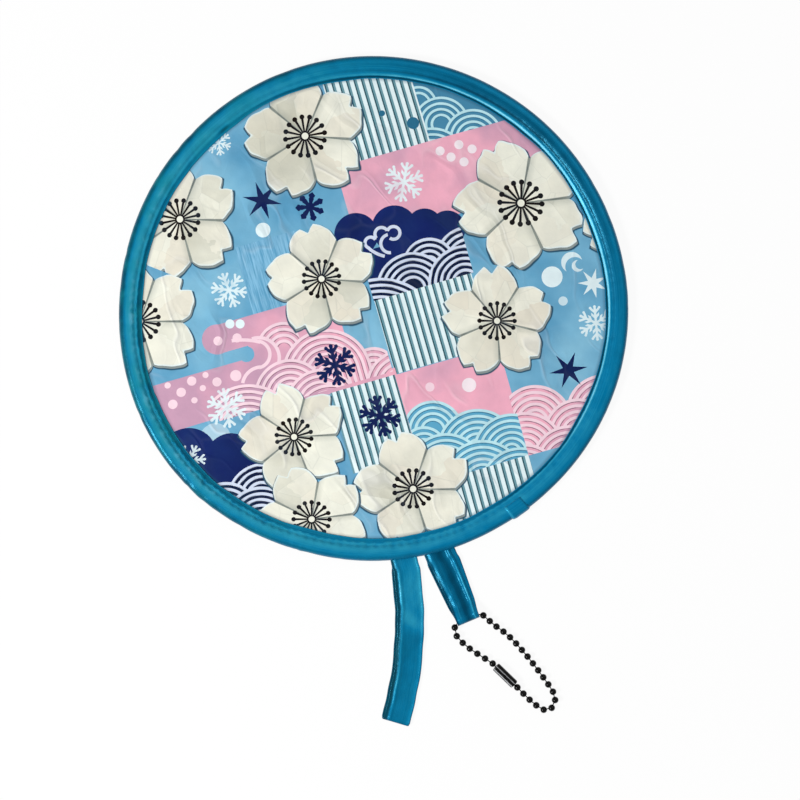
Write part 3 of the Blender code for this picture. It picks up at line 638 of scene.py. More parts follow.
def new_group(name, inputs, outputs):
    """Make a node group with named sockets and return it with a bench and its input terms."""
    group = bpy.data.node_groups.new(name, "ShaderNodeTree")
    for label, kind in inputs:
        group.interface.new_socket(label, in_out="INPUT", socket_type="NodeSocket" + kind)
    for label, kind in outputs:
        group.interface.new_socket(label, in_out="OUTPUT", socket_type="NodeSocket" + kind)
    bench = Bench(group)
    entry = bench.node("NodeGroupInput")
    return group, bench, [bench.term(entry, k) for k in range(len(inputs))]


def close_group(bench, terms):
    """Wire terms to a group's outputs."""
    bench.node("NodeGroupOutput", enumerate(terms))


def use_group(bench, group, *values):
    """Add a group to a tree and return its outputs."""
    node = bench.node("ShaderNodeGroup", node_tree=group)
    for socket, value in zip(node.inputs, values):
        bench.plug(socket, value)
    return [bench.term(node, k) for k in range(len(node.outputs))]


class Painter:
    """Lays inks over a ground, each one a panel colour's name or a colour mixed before."""

    def __init__(self, bench, colours, ground):
        self.bench = bench
        self.colours = colours
        self.colour = self.ink(ground)

    def ink(self, ink):
        """Return an ink's colour."""
        return getattr(self.colours, ink)[:] if isinstance(ink, str) else ink

    def lay(self, mask, ink):
        """Paint an ink wherever the mask says, and thinly where the mask is below 1."""
        self.colour = self.bench.mix(mask, self.colour, self.ink(ink))


# What a motif's group is told: a place, and the motif's middle, radius and turn
MOTIF_SOCKETS = (("Place", "Vector"), ("Middle", "Vector"), ("Radius", "Float"), ("Turn", "Float"))


def petal_edge_group():
    """Group for a blossom's outline.

    With the angle from the nearest petal's axis as a share s of half a petal,
    the edge lies at 0.72 + 0.34 (1 - s^1.5)^0.8 of the blossom's radius, less a
    tooth cut in beside the axis, and wavers a little from place to place. Depth
    is the edge less the place's own radius, so it is above 0 inside.
    """
    group, bench, (place, middle, radius, turn) = new_group("petal edge", MOTIF_SOCKETS, (
        ("Depth", "Float"), ("Reach", "Float"), ("Angle", "Float"), ("Off axis", "Float")))
    reach, angle = bench.polar(bench.turned(place, middle, turn))
    reach = reach / radius
    off_axis = bench.fold(angle, TURN / PETALS)
    share = abs(off_axis) * (2.0 * PETALS / TURN)
    bulge = bench.math("MAXIMUM", ~bench.math("POWER", share, 1.5), 0.0)
    bulge = bench.math("POWER", bulge, 0.8)
    tooth = bench.fade(abs(off_axis - 0.04), 0.015, 0.13, 0.15, 0.0)
    waver = (bench.noise(place, 0.13, 1.0) - 0.5) * 0.13
    close_group(bench, (bulge * 0.34 + 0.72 - tooth + waver - reach, reach, angle, off_axis))
    return group


def blossom_group(colours):
    """Group that paints one blossom over a ground colour.

    Petals grow paler outwards, each has its own shade and a fold along its
    middle, thin gaps part them, and sixteen stamens with round heads stand
    round a white ring. Under the petals lies the same outline, moved down,
    grey with a dark edge.
    """
    edge = petal_edge_group()
    group, bench, (place, middle, radius, turn, ground) = new_group(
        "cherry blossom", MOTIF_SOCKETS + (("Ground", "Color"),), (("Colour", "Color"),))
    below = use_group(bench, edge, place - THICKNESS_SHIFT, middle, radius, turn)[0]
    paint = Painter(bench, colours, ground)
    paint.lay(bench.fade(below, -0.045, -0.025), "shadow")
    paint.lay(bench.fade(below, -0.012, 0.004), "petal_under")
    depth, reach, angle, off_axis = use_group(bench, edge, place, middle, radius, turn)

    cells = {"Vector": place, "Scale": 0.085}
    facets = bench.node("ShaderNodeTexVoronoi", cells)
    tint = bench.parts(bench.term(facets, 1))[0]
    slope = bench.noise(place, 0.16, 2.0)
    number = bench.math("ROUND", angle * (PETALS / TURN))
    half = (off_axis + (slope - 0.5) * 0.7) > 0.0
    own, fold = (bench.term(bench.node("ShaderNodeTexWhiteNoise", {"Vector": middle + seat}))
                 for seat in (bench.join(number, 0.0), bench.join(number, half + 3.0)))
    pale = reach * 0.4 + own * 0.55 + fold * 0.45 + tint * 0.35 + slope * 0.3
    pale = bench.fade(pale, 0.25, 1.05)
    petal = Painter(bench, colours, "petal_root")
    petal.lay(pale, "petal")
    petal.lay(bench.fade(fold + tint * 0.3, 0.55, 1.1, 0.0, 0.5), "petal_flush")
    # Painted shade on the petals round a spot on the upper left
    petal.lay(bench.fade(bench.distance(place, SHADED_PETAL_SPOT), 8.0, 28.0, 0.6, 0.0), "petal_root")
    petal.lay(bench.fade(depth, 0.0, 0.045, 0.9, 0.0) * pale, "white")
    crease = bench.term(bench.node("ShaderNodeTexVoronoi", cells, feature="DISTANCE_TO_EDGE"))
    petal.lay(bench.fade(crease, 0.0, 0.014, 0.3, 0.0) * slope, "petal_line")

    overlap = (TURN / PETALS / 2.0 - off_axis) * reach
    petal.lay(bench.fade(overlap, 0.0, 0.13, 0.4, 0.0), "petal_line")
    aside = (TURN / PETALS / 2.0 - abs(off_axis)) * reach
    gap = bench.fade(reach, 0.3, 0.75, 0.012, 0.024)
    petal.lay((aside < gap) * (reach > 0.1), "petal_line")
    petal.lay((aside < gap * 0.3) * bench.fade(slope, 0.4, 0.6, 0.0, 0.6), "stamen")
    paint.lay(depth > 0.0, petal.colour)

    spoke = abs(bench.fold(angle, TURN / STAMENS)) * reach
    stem = (spoke < reach * 0.03 + 0.012) & (reach < 0.33) & (reach > 0.08)
    head = bench.length(bench.join(reach - 0.33, spoke)) < 0.042
    paint.lay(stem | head, "stamen")
    paint.lay(reach < 0.088, "stamen")
    paint.lay(reach < 0.056, "petal")
    close_group(bench, (paint.colour,))
    return group


def nearest_motif(bench, place, motifs):
    """Return the middle, radius and turn of the motif that lies nearest for its size."""
    (x, y, radius, angle), *others = motifs
    middle, turn = (x, y, 0.0), math.radians(angle)
    least = bench.distance(place, middle) * (1.0 / radius)
    for x, y, size, angle in others:
        far = bench.distance(place, (x, y, 0.0)) * (1.0 / size)
        closer = far < least
        middle = bench.mix(closer, middle, (x, y, 0.0), "VECTOR")
        radius = bench.mix(closer, radius, size, "FLOAT")
        turn = bench.mix(closer, turn, math.radians(angle), "FLOAT")
        least = bench.math("MINIMUM", far, least)
    return middle, radius, turn


def union(masks):
    """Return the mask of several masks together."""
    first, *rest = masks
    for mask in rest:
        first = first | mask
    return first


def crest_arc(bench, seen, name):
    """Return how deep a place lies inside the wave crest in front of it, or 0 outside them all.

    The place is as seen from its block. A crest is an arch, a half circle on two
    upright legs, so the depth is its radius less the length of (x, max(y, 0)),
    and it stays level inside a small hub, where no line is drawn.
    """
    block_x, block_y, _, _ = BLOCKS[name]
    cosine, sine = math.cos(BLOCK_TURN), math.sin(BLOCK_TURN)
    arc = 0.0
    for x, y, radius in CRESTS[name]:
        hub = radius - CREST_PITCH * (math.floor(radius / CREST_PITCH - 0.5) - 0.15)
        x, y = x - block_x, y - block_y
        foot = (x * cosine + y * sine, y * cosine - x * sine, 0.0)
        off = bench.math("MAXIMUM", seen - foot, (-200.0, 0.0, -200.0))
        inner = radius - bench.math("MAXIMUM", bench.length(off), hub)
        arc = bench.mix(inner > 0.0, arc, inner, "FLOAT")
    return arc


def block(bench, place, name):
    """Return a tilted block's mask and the place as seen from its middle."""
    x, y, width, height = BLOCKS[name]
    seen = bench.turned(place, (x, y, 0.0), BLOCK_TURN)
    side, rise, _ = bench.parts(abs(seen))
    return (side < width / 2.0) & (rise < height / 2.0), seen


def round_shapes(bench, place, shapes):
    """Return the mask of several discs: 1 where any of them reaches."""
    return union(bench.distance(place, (x, y, 0.0)) < radius for x, y, radius in shapes)


def strokes(bench, place, curls, width):
    """Return the mask of round strokes, each part of a ring's line."""
    masks = []
    for x, y, radius, first, last in curls:
        reach, angle = bench.polar(place - (x, y, 0.0))
        middle, half = math.radians(first + last) / 2.0, math.radians(last - first) / 2.0
        off = abs(bench.fold(angle - middle, TURN))
        masks.append((abs(reach - radius) < width / 2.0) & (off < half))
    return union(masks)


def arm_place(bench, place, motifs, arms):
    """Return a place along and beside the nearest arm of the nearest motif, and its reach.

    All three are shares of the motif's radius.
    """
    middle, radius, turn = nearest_motif(bench, place, motifs)
    reach, angle = bench.polar(bench.turned(place, middle, turn))
    spoke = abs(bench.fold(angle, TURN / arms))
    reach = reach / radius
    return reach * bench.math("COSINE", spoke), reach * bench.math("SINE", spoke), reach


def crystal_mask(bench, place, motifs, thick):
    """Return the mask of six-armed snow crystals with two pairs of twigs on each arm."""
    along, aside, _ = arm_place(bench, place, motifs, 6)
    arm = (aside < thick) & (along < 0.94)
    inner = (abs(aside - along + 0.30) < thick * 1.35) & (aside < 0.22)
    outer = (abs(aside - along + 0.60) < thick * 1.35) & (aside < 0.26)
    tips = bench.length(bench.join(along - 0.87, aside - 0.25)) < thick * 1.1
    end = bench.length(bench.join(along - 0.93, aside)) < thick * 1.2
    return arm | inner | outer | tips | end


def flower_mask(bench, place, motifs, arms):
    """Return the mask of snow flowers: arms that widen outwards from a round middle."""
    along, aside, reach = arm_place(bench, place, motifs, arms)
    arm = (aside < along * 0.2 + 0.06) & (along + aside * 0.9 < 1.0)
    notch = bench.length(bench.join(along - 0.62, aside - 0.21)) < 0.06
    return (arm | (reach < 0.3)) & ~notch


def star_mask(bench, place, motifs, points, waist):
    """Return the mask of pointed stars.

    A place is inside if it lies within the straight line from the nearest point
    to the waist between two points, whose radius is given as a share.
    """
    along, aside, _ = arm_place(bench, place, motifs, points)
    half = TURN / points / 2.0
    slope = (1.0 - waist * math.cos(half)) / (waist * math.sin(half))
    return along + aside * slope < 1.0


class PrintPainter(Painter):
    """Paints the print's motifs over one another, at a place on the disc."""

    def __init__(self, bench, place, colours, ground):
        super().__init__(bench, colours, ground)
        self.place = place
        self.wear = bench.noise(place, 0.16, 2.0)

    def blocks(self, *names):
        """Return the mask of one or more blocks."""
        return union(block(self.bench, self.place, name)[0] for name in names)

    def discs(self, shapes):
        """Return the mask of several discs."""
        return round_shapes(self.bench, self.place, shapes)

    def stripes(self, name):
        """Paint a block of stripes, each with a thin dark line beside it."""
        mask, seen = block(self.bench, self.place, name)
        phase = self.bench.parts(seen)[0] * (1.0 / STRIPE_PITCH) + 0.3
        phase = self.bench.math("FRACT", phase)
        lined = Painter(self.bench, self.colours, "white")
        lined.lay(self.bench.fade(phase, 0.55, 0.60), "stripe")
        lined.lay(abs(phase - 0.63) < 0.09, "stripe_edge")
        self.lay(mask, lined.colour)

    def crests(self, name, inks, share):
        """Paint a block of wave crests.

        inks are those of the ground, the lines and the thin worn line beside
        each, and share is a line's width as a share of the lines' pitch.
        """
        fill, line, thin = inks
        mask, seen = block(self.bench, self.place, name)
        arc = crest_arc(self.bench, seen, name)
        phase = self.bench.math("FRACT", arc * (1.0 / CREST_PITCH))
        drawn = Painter(self.bench, self.colours, line)
        drawn.lay(self.bench.fade(phase, share, share + 0.06), fill)
        worn = self.bench.fade(self.wear, 0.32, 0.52)
        drawn.lay((abs(phase - share - 0.08) < 0.07) * worn, thin)
        self.lay(mask & (arc > 0.0), drawn.colour)


def print_group(colours):
    """Group that turns a place on the disc, in millimetres, into the print's colour."""
    blossom = blossom_group(colours)
    group, bench, (place,) = new_group("fan print", (("Place", "Vector"),), (("Colour", "Color"),))
    wash = bench.noise(place, 0.035, 3.0)
    ground = bench.mix(bench.fade(wash, 0.35, 0.68), colours.sky[:], colours.sky_pale[:])
    flush = bench.noise(place + (40.0, 0.0, 0.0), 0.05) + bench.parts(place)[0] * 0.0035
    flush = flush - bench.fade(bench.length(place), 76.0, 92.0, 0.0, 0.45)
    clouds = bench.mix(bench.fade(flush, 0.25, 0.6), colours.rose[:], colours.pink[:])
    dusk = bench.mix(bench.fade(wash, 0.3, 0.7), colours.navy[:], colours.navy_pale[:])
    mask, seen = block(bench, place, "faint_lines")
    across, down, _ = bench.parts(seen)
    threads = bench.fade(bench.noise(bench.join(across, down * 0.06), 0.9, 3.0, 0.7), 0.4, 0.62)
    faint = bench.mix(threads, colours.sky[:], colours.sky_line[:])
    paint = PrintPainter(bench, place, colours, ground)
    navy_waves = ("navy_deep", "navy_line", "navy_line")
    pink_waves = (clouds, "pink_line", "pink_edge")

    paint.lay(mask * 0.95, faint)
    paint.lay(paint.blocks("top_waves"), "wave_deep")
    paint.crests("top_waves", ("wave_deep", "wave_line", "wave_edge"), 0.42)
    paint.stripes("top_stripes")
    paint.lay(paint.blocks("top_pink"), clouds)
    paint.lay(paint.blocks("top_navy") | paint.discs(LOBES["top_navy"]), dusk)
    paint.crests("navy_waves", navy_waves, 0.36)
    paint.stripes("middle_stripes")
    inlet = paint.discs(LOBES["inlet"])
    body = paint.blocks("pink_bar", "pink_body", "pink_band", "pink_foot")
    paint.lay((body | paint.discs(LOBES["pink"])) & ~inlet, clouds)
    paint.crests("pink_hill", pink_waves, 0.50)
    paint.lay(paint.discs(LOBES["bay"]) & paint.blocks("bay") & ~inlet, clouds)
    paint.lay(strokes(bench, place, PINK_CURLS, 1.35), "pink_line")
    paint.crests("pink_waves", pink_waves, 0.50)
    paint.stripes("lower_stripes")
    paint.lay(paint.blocks("small_pink"), clouds)
    paint.crests("side_waves", pink_waves, 0.50)
    paint.crests("blue_waves", ("wave", "wave_line", "wave_edge"), 0.46)
    paint.stripes("bottom_stripes")
    paint.lay(paint.discs(DOTS["mist"]) * 0.4, "white")
    paint.lay(paint.blocks("low_navy") | paint.discs(LOBES["low_navy"]), dusk)
    paint.crests("low_waves", navy_waves, 0.36)

    paint.lay(paint.discs(DOTS["white"]), "white")
    paint.lay(paint.discs(DOTS["soft"]) * 0.7, "white")
    for name, ink in (("blush", "blush"), ("rosy", "pink_line"), ("blue", "wave_edge")):
        paint.lay(paint.discs(DOTS[name]), ink)
    for moon in PALE_MOONS:
        paint.lay((paint.discs((moon[:3],)) & ~paint.discs((moon[3:],))) * 0.85, "white")
    pale = crystal_mask(bench, place, PALE_CRYSTALS, 0.066)
    paint.lay(pale * bench.fade(paint.wear, 0.3, 0.5, 0.62, 0.92), "white")
    dark = crystal_mask(bench, place, DARK_CRYSTALS, 0.085)
    dark = dark | flower_mask(bench, place, DARK_FLOWERS, 7)
    paint.lay(dark | star_mask(bench, place, DARK_STARS, 6, 0.3), "navy")
    paint.lay(star_mask(bench, place, PALE_STARS, 7, 0.36), "white")
    paint.lay(strokes(bench, place, NAVY_CURLS, 1.25), "navy_line")
    for motifs in (BLOSSOMS, UPPER_BLOSSOMS):
        nearest = nearest_motif(bench, place, motifs)
        paint.colour = use_group(bench, blossom, place, *nearest, paint.colour)[0]
    close_group(bench, (paint.colour,))
    return group


def blank_material(name):
    """Make an empty node material and return it with a bench."""
    material = bpy.data.materials.new(name)
    material.use_nodes = True
    material.node_tree.nodes.clear()
    return material, Bench(material.node_tree)


def new_material(name):
    """Make a node material with one shader and return it with a bench and the shader."""
    material, bench = blank_material(name)
    shader = bench.node("ShaderNodeBsdfPrincipled")
    bench.node("ShaderNodeOutputMaterial", {"Surface": bench.term(shader)})
    return material, bench, shader


def print_material(name, colours, printed, faded):
    """Make the printed cloth: the print, painted highlights and painted shade on its
    creases, a fine weave, a dull face.

    A crease has a painted highlight on its ridge and painted shade on one side, and
    runs where a stretched noise passes through its middle value. The underside is faded.
    """
    material, bench, shader = new_material(name)
    place = (bench.uv_map() - (0.5, 0.5, 0.0)) * CHART_WIDTH
    colour = use_group(bench, printed, place)[0]
    cells = {"Vector": place + bench.noise(place, 0.05) * 18.0, "Scale": 0.045}
    crumple = bench.term(bench.node("ShaderNodeTexVoronoi", cells, feature="DISTANCE_TO_EDGE"))
    ridge = bench.fade(crumple, 0.0, 0.05, 1.0, 0.0) * bench.noise(place, 0.06)
    swirl = bench.turned(place, (0.0, 0.0, 0.0), 0.6) * (1.0, 0.5, 1.0)
    swirl = bench.noise(swirl, 0.045, 2.0)
    crumpled = bench.fade(bench.noise(place + (0.0, 60.0, 0.0), 0.035), 0.42, 0.62)
    crease = bench.fade(abs(swirl - 0.5), 0.0, 0.022, 1.0, 0.0) * crumpled
    slack = bench.fade(abs(swirl - 0.44), 0.0, 0.05, 1.0, 0.0) * crumpled
    # Arithmetic on a colour uses its brightness, so glint is high on the print's pale parts
    glint = bench.fade(colour * 1.0, 0.15, 0.6)
    paint = Painter(bench, colours, colour)
    # Painted highlights on the crumple lines and creases, stronger on the print's pale parts
    paint.lay(ridge * 0.02 | crease * glint * 0.22, "crease_light")
    # Painted shade beside each crease
    under = bench.fade(swirl, 0.43, 0.49) * bench.fade(swirl, 0.49, 0.51, 1.0, 0.0)
    paint.lay(under * crumpled * 0.16, "crease_shade")
    blotch = bench.fade(bench.noise(place, 0.12, 4.0), 0.3, 0.7, 0.0, 0.12)
    hem = bench.fade(bench.length(place), 89.6, 91.2, 0.0, 0.55)
    paint.lay(blotch | hem, "hem_shade")
    if faded:
        paint.lay(0.45, "cloth_back")
    gloss = bench.fade(bench.noise(place, 0.5), 0.3, 0.7, 0.62, 0.78)
    bench.finish(shader, base_color=paint.colour, roughness=gloss, specular_ior_level=0.06)
    warp, weft, _ = bench.parts(place * (TURN / WEAVE_PITCH))
    height = bench.math("SINE", warp) * bench.math("SINE", weft) * 0.012
    height = height + ridge * 0.08 + crease * 0.3 + slack * 0.4
    bench.relief(shader, height + bench.noise(place, 0.3, 3.0) * 0.14, 0.7)
    return material


def satin_material(name, colours):
    """Make the satin tape: painted sheen in streaks along its threads, painted shade in
    folds, painted highlights on ridges, a soft gloss.

    The piece's painted light shades it: from 0 to -2 it goes over the painted shade
    colour to the darkest painted shade, and from 0 to 1 over the painted sheen colour
    to the painted highlight.
    """
    material, bench, shader = new_material(name)
    along, across, _ = bench.parts(bench.uv_map() * (1.0 / MM))
    tone = bench.term(bench.node("ShaderNodeAttribute", attribute_name="tone"), 2)
    streak = bench.noise(bench.join(along * 0.03, across * 2.4), 1.0, 3.0)
    cloud = bench.noise(bench.join(along * 0.05, across * 0.12), 1.0, 2.0)
    spots = bench.noise(bench.join(along * 0.16, across * 0.3), 1.0, 3.0)
    tone = tone + (cloud - 0.5) * 0.3 + (spots - 0.5) * 0.5
    paint = Painter(bench, colours, "satin")
    # Painted sheen in streaks along the satin's threads
    paint.lay(bench.fade(streak, 0.35, 0.75, 0.0, 0.25), "satin_light")
    # The piece's painted light: painted shade below 0, painted sheen and painted highlight above 0
    for start, end, ink in ((0.0, -1.0, "satin_deep"), (-1.0, -2.0, "satin_dark"),
                            (0.0, 0.5, "satin_light"), (0.5, 1.0, "satin_pale")):
        paint.lay(bench.fade(tone, start, end), ink)
    place = bench.object_place()
    # Painted light: greener satin in random blotches towards the left of the fan, where light falls
    worn = bench.fade(bench.noise(place, 0.12, 3.0), 0.35, 0.65, 0.15, 1.0)
    paint.lay(bench.fade(bench.parts(place)[0], 30.0, -85.0, 0.0, 0.5) * worn, "satin_worn")
    gloss = bench.fade(streak, 0.3, 0.7, 0.22, 0.32)
    bench.finish(shader, base_color=paint.colour, roughness=gloss, specular_ior_level=0.45,
                 specular_tint=(0.10, 0.68, 1.0, 1.0))
    floats = along * (TURN / SATIN_PITCHES[0]) + across * 9.0
    thread = bench.math("SINE", across * (TURN / SATIN_PITCHES[1])) * bench.math("SINE", floats)
    height = thread * 0.006 + streak * 0.07
    height = height + bench.noise(bench.join(along, across), 0.5, 2.0) * 0.12
    bench.relief(shader, height, 0.55)
    return material


def thread_material(name, colours):
    """Make the sewing thread: two plies that wind round, on a dull teal, with a painted highlight
    on each ply's crest.
    """
    material, bench, shader = new_material(name)
    along, across, _ = bench.parts(bench.uv_map() * (1.0 / MM))
    ply = bench.math("SINE", along * (TURN / PLY_PITCHES[0]) + across * (TURN / PLY_PITCHES[1]))
    # Painted highlight on each ply's crest, in the satin's sheen colour
    light = bench.fade(ply, -1.0, 1.0, 0.0, 0.4)
    colour = bench.mix(light, colours.thread[:], colours.satin_light[:])
    bench.finish(shader, base_color=colour, roughness=0.5, specular_ior_level=0.1)
    bench.relief(shader, ply * 0.05, 0.6)
    return material


def metal_material(name, colour, gloss, scratch, metallic, highlight_lines=None):
    """Make a metal or its coat: fine scratches in the gloss and small changes of shade.

    highlight_lines holds the colour, the middle and the turn of a tube along which
    two painted highlights run, in millimetres and radians.
    """
    material, bench, shader = new_material(name)
    place = bench.object_place()
    grain = bench.noise(place * (1.0, 1.0, 4.0), 1.2, 4.0)
    spots = bench.fade(bench.noise(place, 2.5, 3.0), 0.55, 0.8)
    paler = tuple(min(1.0, c * 2.2 + 0.006) for c in colour[:3]) + (1.0,)
    shade = bench.mix(spots * 0.35, colour, paler)
    if highlight_lines is not None:
        highlight_colour, middle, turn = highlight_lines
        along, side, _ = bench.parts(bench.turned(place, middle, turn))
        waver = (bench.noise(bench.join(along * 0.4, side * 2.0), 1.0, 2.0) - 0.5) * 0.5
        # Two painted highlights along the tube
        for seat, width, share in ((0.35, 0.2, 0.75), (-1.2, 0.3, 0.9)):
            line = bench.fade(abs(side - seat + waver), width * 0.4, width, share, 0.0)
            shade = bench.mix(line, shade, highlight_colour)
    rough = bench.fade(grain, 0.3, 0.7, gloss, gloss + scratch)
    bench.finish(shader, base_color=shade, roughness=rough, metallic=metallic,
                 specular_ior_level=0.2)
    bench.relief(shader, grain * 0.02, 0.5)
    return material


def settings():
    """Return the scene's sizes and colours."""
    scene = bpy.context.scene
    return scene.fan_sizes, scene.fan_colours


def material_named(name, maker, *values):
    """Return a finish that is already made, or make it under its name."""
    return bpy.data.materials.get(name) or maker(name, *values)


def satin():
    """Return the satin of the binding, the strap and the tab."""
    return material_named("satin tape", satin_material, settings()[1])


def across_hinge(piece):
    """Bake a piece's place into its mesh."""
    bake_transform(piece)


def small_folds(along, across, round_length, depth, seed, count):
    """Add up short folds across a tape.

    Each is a bump exp(-((s - s0 - m(q - q0)) / w)^2) exp(-((q - q0) / v)^2) at
    a random place s0, q0, slanted by m, narrow along the tape and wide across.
    """
    maker = np.random.default_rng(seed)
    height = np.zeros(np.broadcast(along, across).shape)
    for _ in range(count):
        middle, width = maker.uniform(0.0, round_length), maker.uniform(0.7, 2.6) * MM
        seat = maker.choice([*SEAM_ACROSS, maker.uniform(4.0, 19.0)]) * MM
        spread, slant = maker.uniform(1.4, 4.2) * MM, maker.uniform(-0.7, 0.7)
        rise = depth * maker.uniform(-1.0, 0.55)
        off = (along - middle + round_length / 2.0) % round_length - round_length / 2.0
        height += rise * bump(off, slant * (across - seat), width) * bump(across, seat, spread)
    return height


def rim_weights(bearing):
    """Return how much each stretch of the rim counts at each bearing, from 0 to 1.

    They are the left side, the right side, the lower right that turns from the
    light, the bottom, the upper left, and the lower left, where the tape is
    gathered most.
    """
    degrees = np.degrees(bearing)
    left = 0.5 - 0.5 * np.cos(bearing - math.radians(105.0))
    right = np.clip(np.cos(bearing - math.radians(115.0)), 0.0, 1.0)
    shaded = np.clip(np.cos(bearing - math.radians(140.0)), 0.0, 1.0) ** 3
    bottom = bump(np.abs(degrees - 180.0), 180.0, 42.0)
    upper_left = bump(degrees, 228.0, 24.0)
    gathered = bump(np.abs(degrees - 150.0), 170.0, 55.0)
    return [side[:, None] for side in (left, right, shaded, bottom, upper_left, gathered)]


def binding_light_and_shade(reach, bearing, rise):
    """Return the painted light and shade of the binding's outer face: painted shade
    below 0 and painted light above.

    On the left the tube has painted light down to a ragged brim and painted shade at
    its outer edge, the lower right has painted shade, and the flange inside the brim
    has painted shade, with a painted highlight on its lip on the right and on its tip
    on the left. A painted dark spot lies at one pinch, and painted shade in the fold dips.
    """
    left, right, shaded, bottom, upper_left, gathered = rim_weights(bearing)
    share = bearing / TURN
    scallop = np.abs(np.cos((bearing * SEAM_RADIUS / STITCH_PITCH
                             + ripple(share, 6, (5, 9, 14))) * TURN / 2.0))
    ragged = (0.55 * scallop + 0.2 * ripple(share, 8, (31, 47, 83)))[:, None] * gathered
    brim = 92.1 + (0.75 * left + ragged)
    lit = 0.5 * smooth_step(reach, brim - 0.1, brim + 0.2) * smooth_step(reach, 98.0, 95.6)
    lit = left * (lit + 0.12 * bump(reach, 94.9, 1.0))
    dim = 0.8 * smooth_step(reach, 93.2, 94.2) * smooth_step(reach, 98.4, 96.2)
    dim = shaded * (dim + 0.6 * bump(reach, 94.0, 0.6))
    flange = smooth_step(reach, brim + 0.05 - 0.2 * right, brim - 0.3)
    flange = flange * smooth_step(reach, 91.15, 91.5) * (1.0 - 0.9 * upper_left)
    flange = flange * (0.95 - 0.75 * bottom + 0.8 * right)
    pinch = 1.1 * bump(np.degrees(bearing)[:, None], 219.5, 1.5) * bump(reach, 92.4, 0.6)
    tip = 0.9 * left * (1.0 - upper_left) * bump(reach, 91.05, 0.2)
    lip = (1.25 * right ** 1.2 + 0.3 * bottom) * bump(reach, 92.45, 0.36)
    edge = smooth_step(reach, 98.0 - 0.9 * left, 99.4 - 0.5 * left)
    edge = edge * (0.25 + 1.1 * left) * (1.0 - 0.5 * bottom)
    return lit - dim - flange - pinch + tip + lip - edge - np.clip(-rise * 0.9, 0.0, 0.5)


class FAN_OT_binding(Operator):
    """Build the sewn satin tube with its flange round the hoop."""

    bl_idname = "fan.binding"
    bl_label = "Binding"

    def execute(self, context):
        """Carry the binding's section round the disc, with puckers and folds on its outer face."""
        sizes, _ = settings()
        upper, hollow = np.array(BINDING_EDGE), np.array(BINDING_HOLLOW)
        outer = smooth_line(np.vstack([upper, [RIM_POINT], mirrored(upper)]), 84)
        hollow = np.vstack([hollow, mirrored(hollow)[1:]])
        across, reach = walked_length(outer), outer[:, 0]
        steps = 900
        bearing = np.linspace(0.0, TURN, steps, endpoint=False)
        round_length = TURN * TUBE_RADIUS
        left, *_, gathered = rim_weights(bearing)
        rise = small_folds(bearing[:, None] * TUBE_RADIUS * MM, across * MM, round_length * MM,
                           sizes.fold_depth, sizes.seed, 420) / MM
        rise *= 0.3 + 0.7 * left
        waver = 2.0 * ripple(bearing / TURN, 5, (3, 7, 11))
        pull = np.cos(np.round(TURN * SEAM_RADIUS / STITCH_PITCH) * bearing + waver)
        pull = (pull[:, None] * 0.5 + 0.5) * (0.15 + 0.85 * gathered)
        for seat in SEAM_ACROSS:
            rise -= sizes.pucker_depth / MM * pull * bump(across, seat + 0.5, 1.1)
        normals = side_normals(outer)
        radius = reach + normals[:, 0] * rise
        height = np.clip(outer[:, 1] + normals[:, 1] * rise, 0.0, None)
        tip = smooth_step(across, 2.4, 0.0) + smooth_step(across, across[-1] - 2.4, across[-1])
        radius += ripple(bearing / TURN, 3, (9, 14, 23, 37, 61))[:, None] * tip * 0.24
        inside = np.broadcast_to(hollow, (steps, *hollow.shape))
        radius = np.hstack([radius, inside[..., 0]]) + rim_drift(bearing)[:, None]
        height = np.hstack([height, inside[..., 1]])
        spots = polar_spot(bearing[:, None], radius * MM, height * MM)
        wide = walked_length(np.vstack([outer, hollow, outer[:1]]))
        chart = grid(np.linspace(0.0, round_length, steps + 1), wide)
        tone = np.zeros(radius.shape)
        tone[:, :len(across)] = binding_light_and_shade(reach, bearing, rise)
        piece = make_surface("hoop_binding", spots, (True, True), chart * MM, tone, satin())
        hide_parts("binding_lower", "binding_upper")
        across_hinge(piece)
        return {"FINISHED"}


def cloth_creases(x, y, seed, count):
    """Add up creases of the cloth, at random places and headings.

    Each is a ridge with straight flanks, max(0, 1 - |off| / width), which fades
    along its line as the bell curve exp(-(down / span)^2).
    """
    maker = np.random.default_rng(seed)
    rise = np.zeros(x.shape)
    for _ in range(count):
        reach, swing = maker.uniform(0.0, 84.0), maker.uniform(0.0, TURN)
        heading = maker.uniform(0.0, TURN)
        dx, dy = x - reach * math.sin(swing), y - reach * math.cos(swing)
        down = dx * math.cos(heading) + dy * math.sin(heading)
        off = dy * math.cos(heading) - dx * math.sin(heading)
        width, span = maker.uniform(1.5, 5.5), maker.uniform(8.0, 30.0)
        ridge = np.clip(1.0 - np.abs(off) / width, 0.0, None)
        rise += maker.uniform(-0.6, 1.0) * ridge * bump(down, 0.0, span)
    return rise


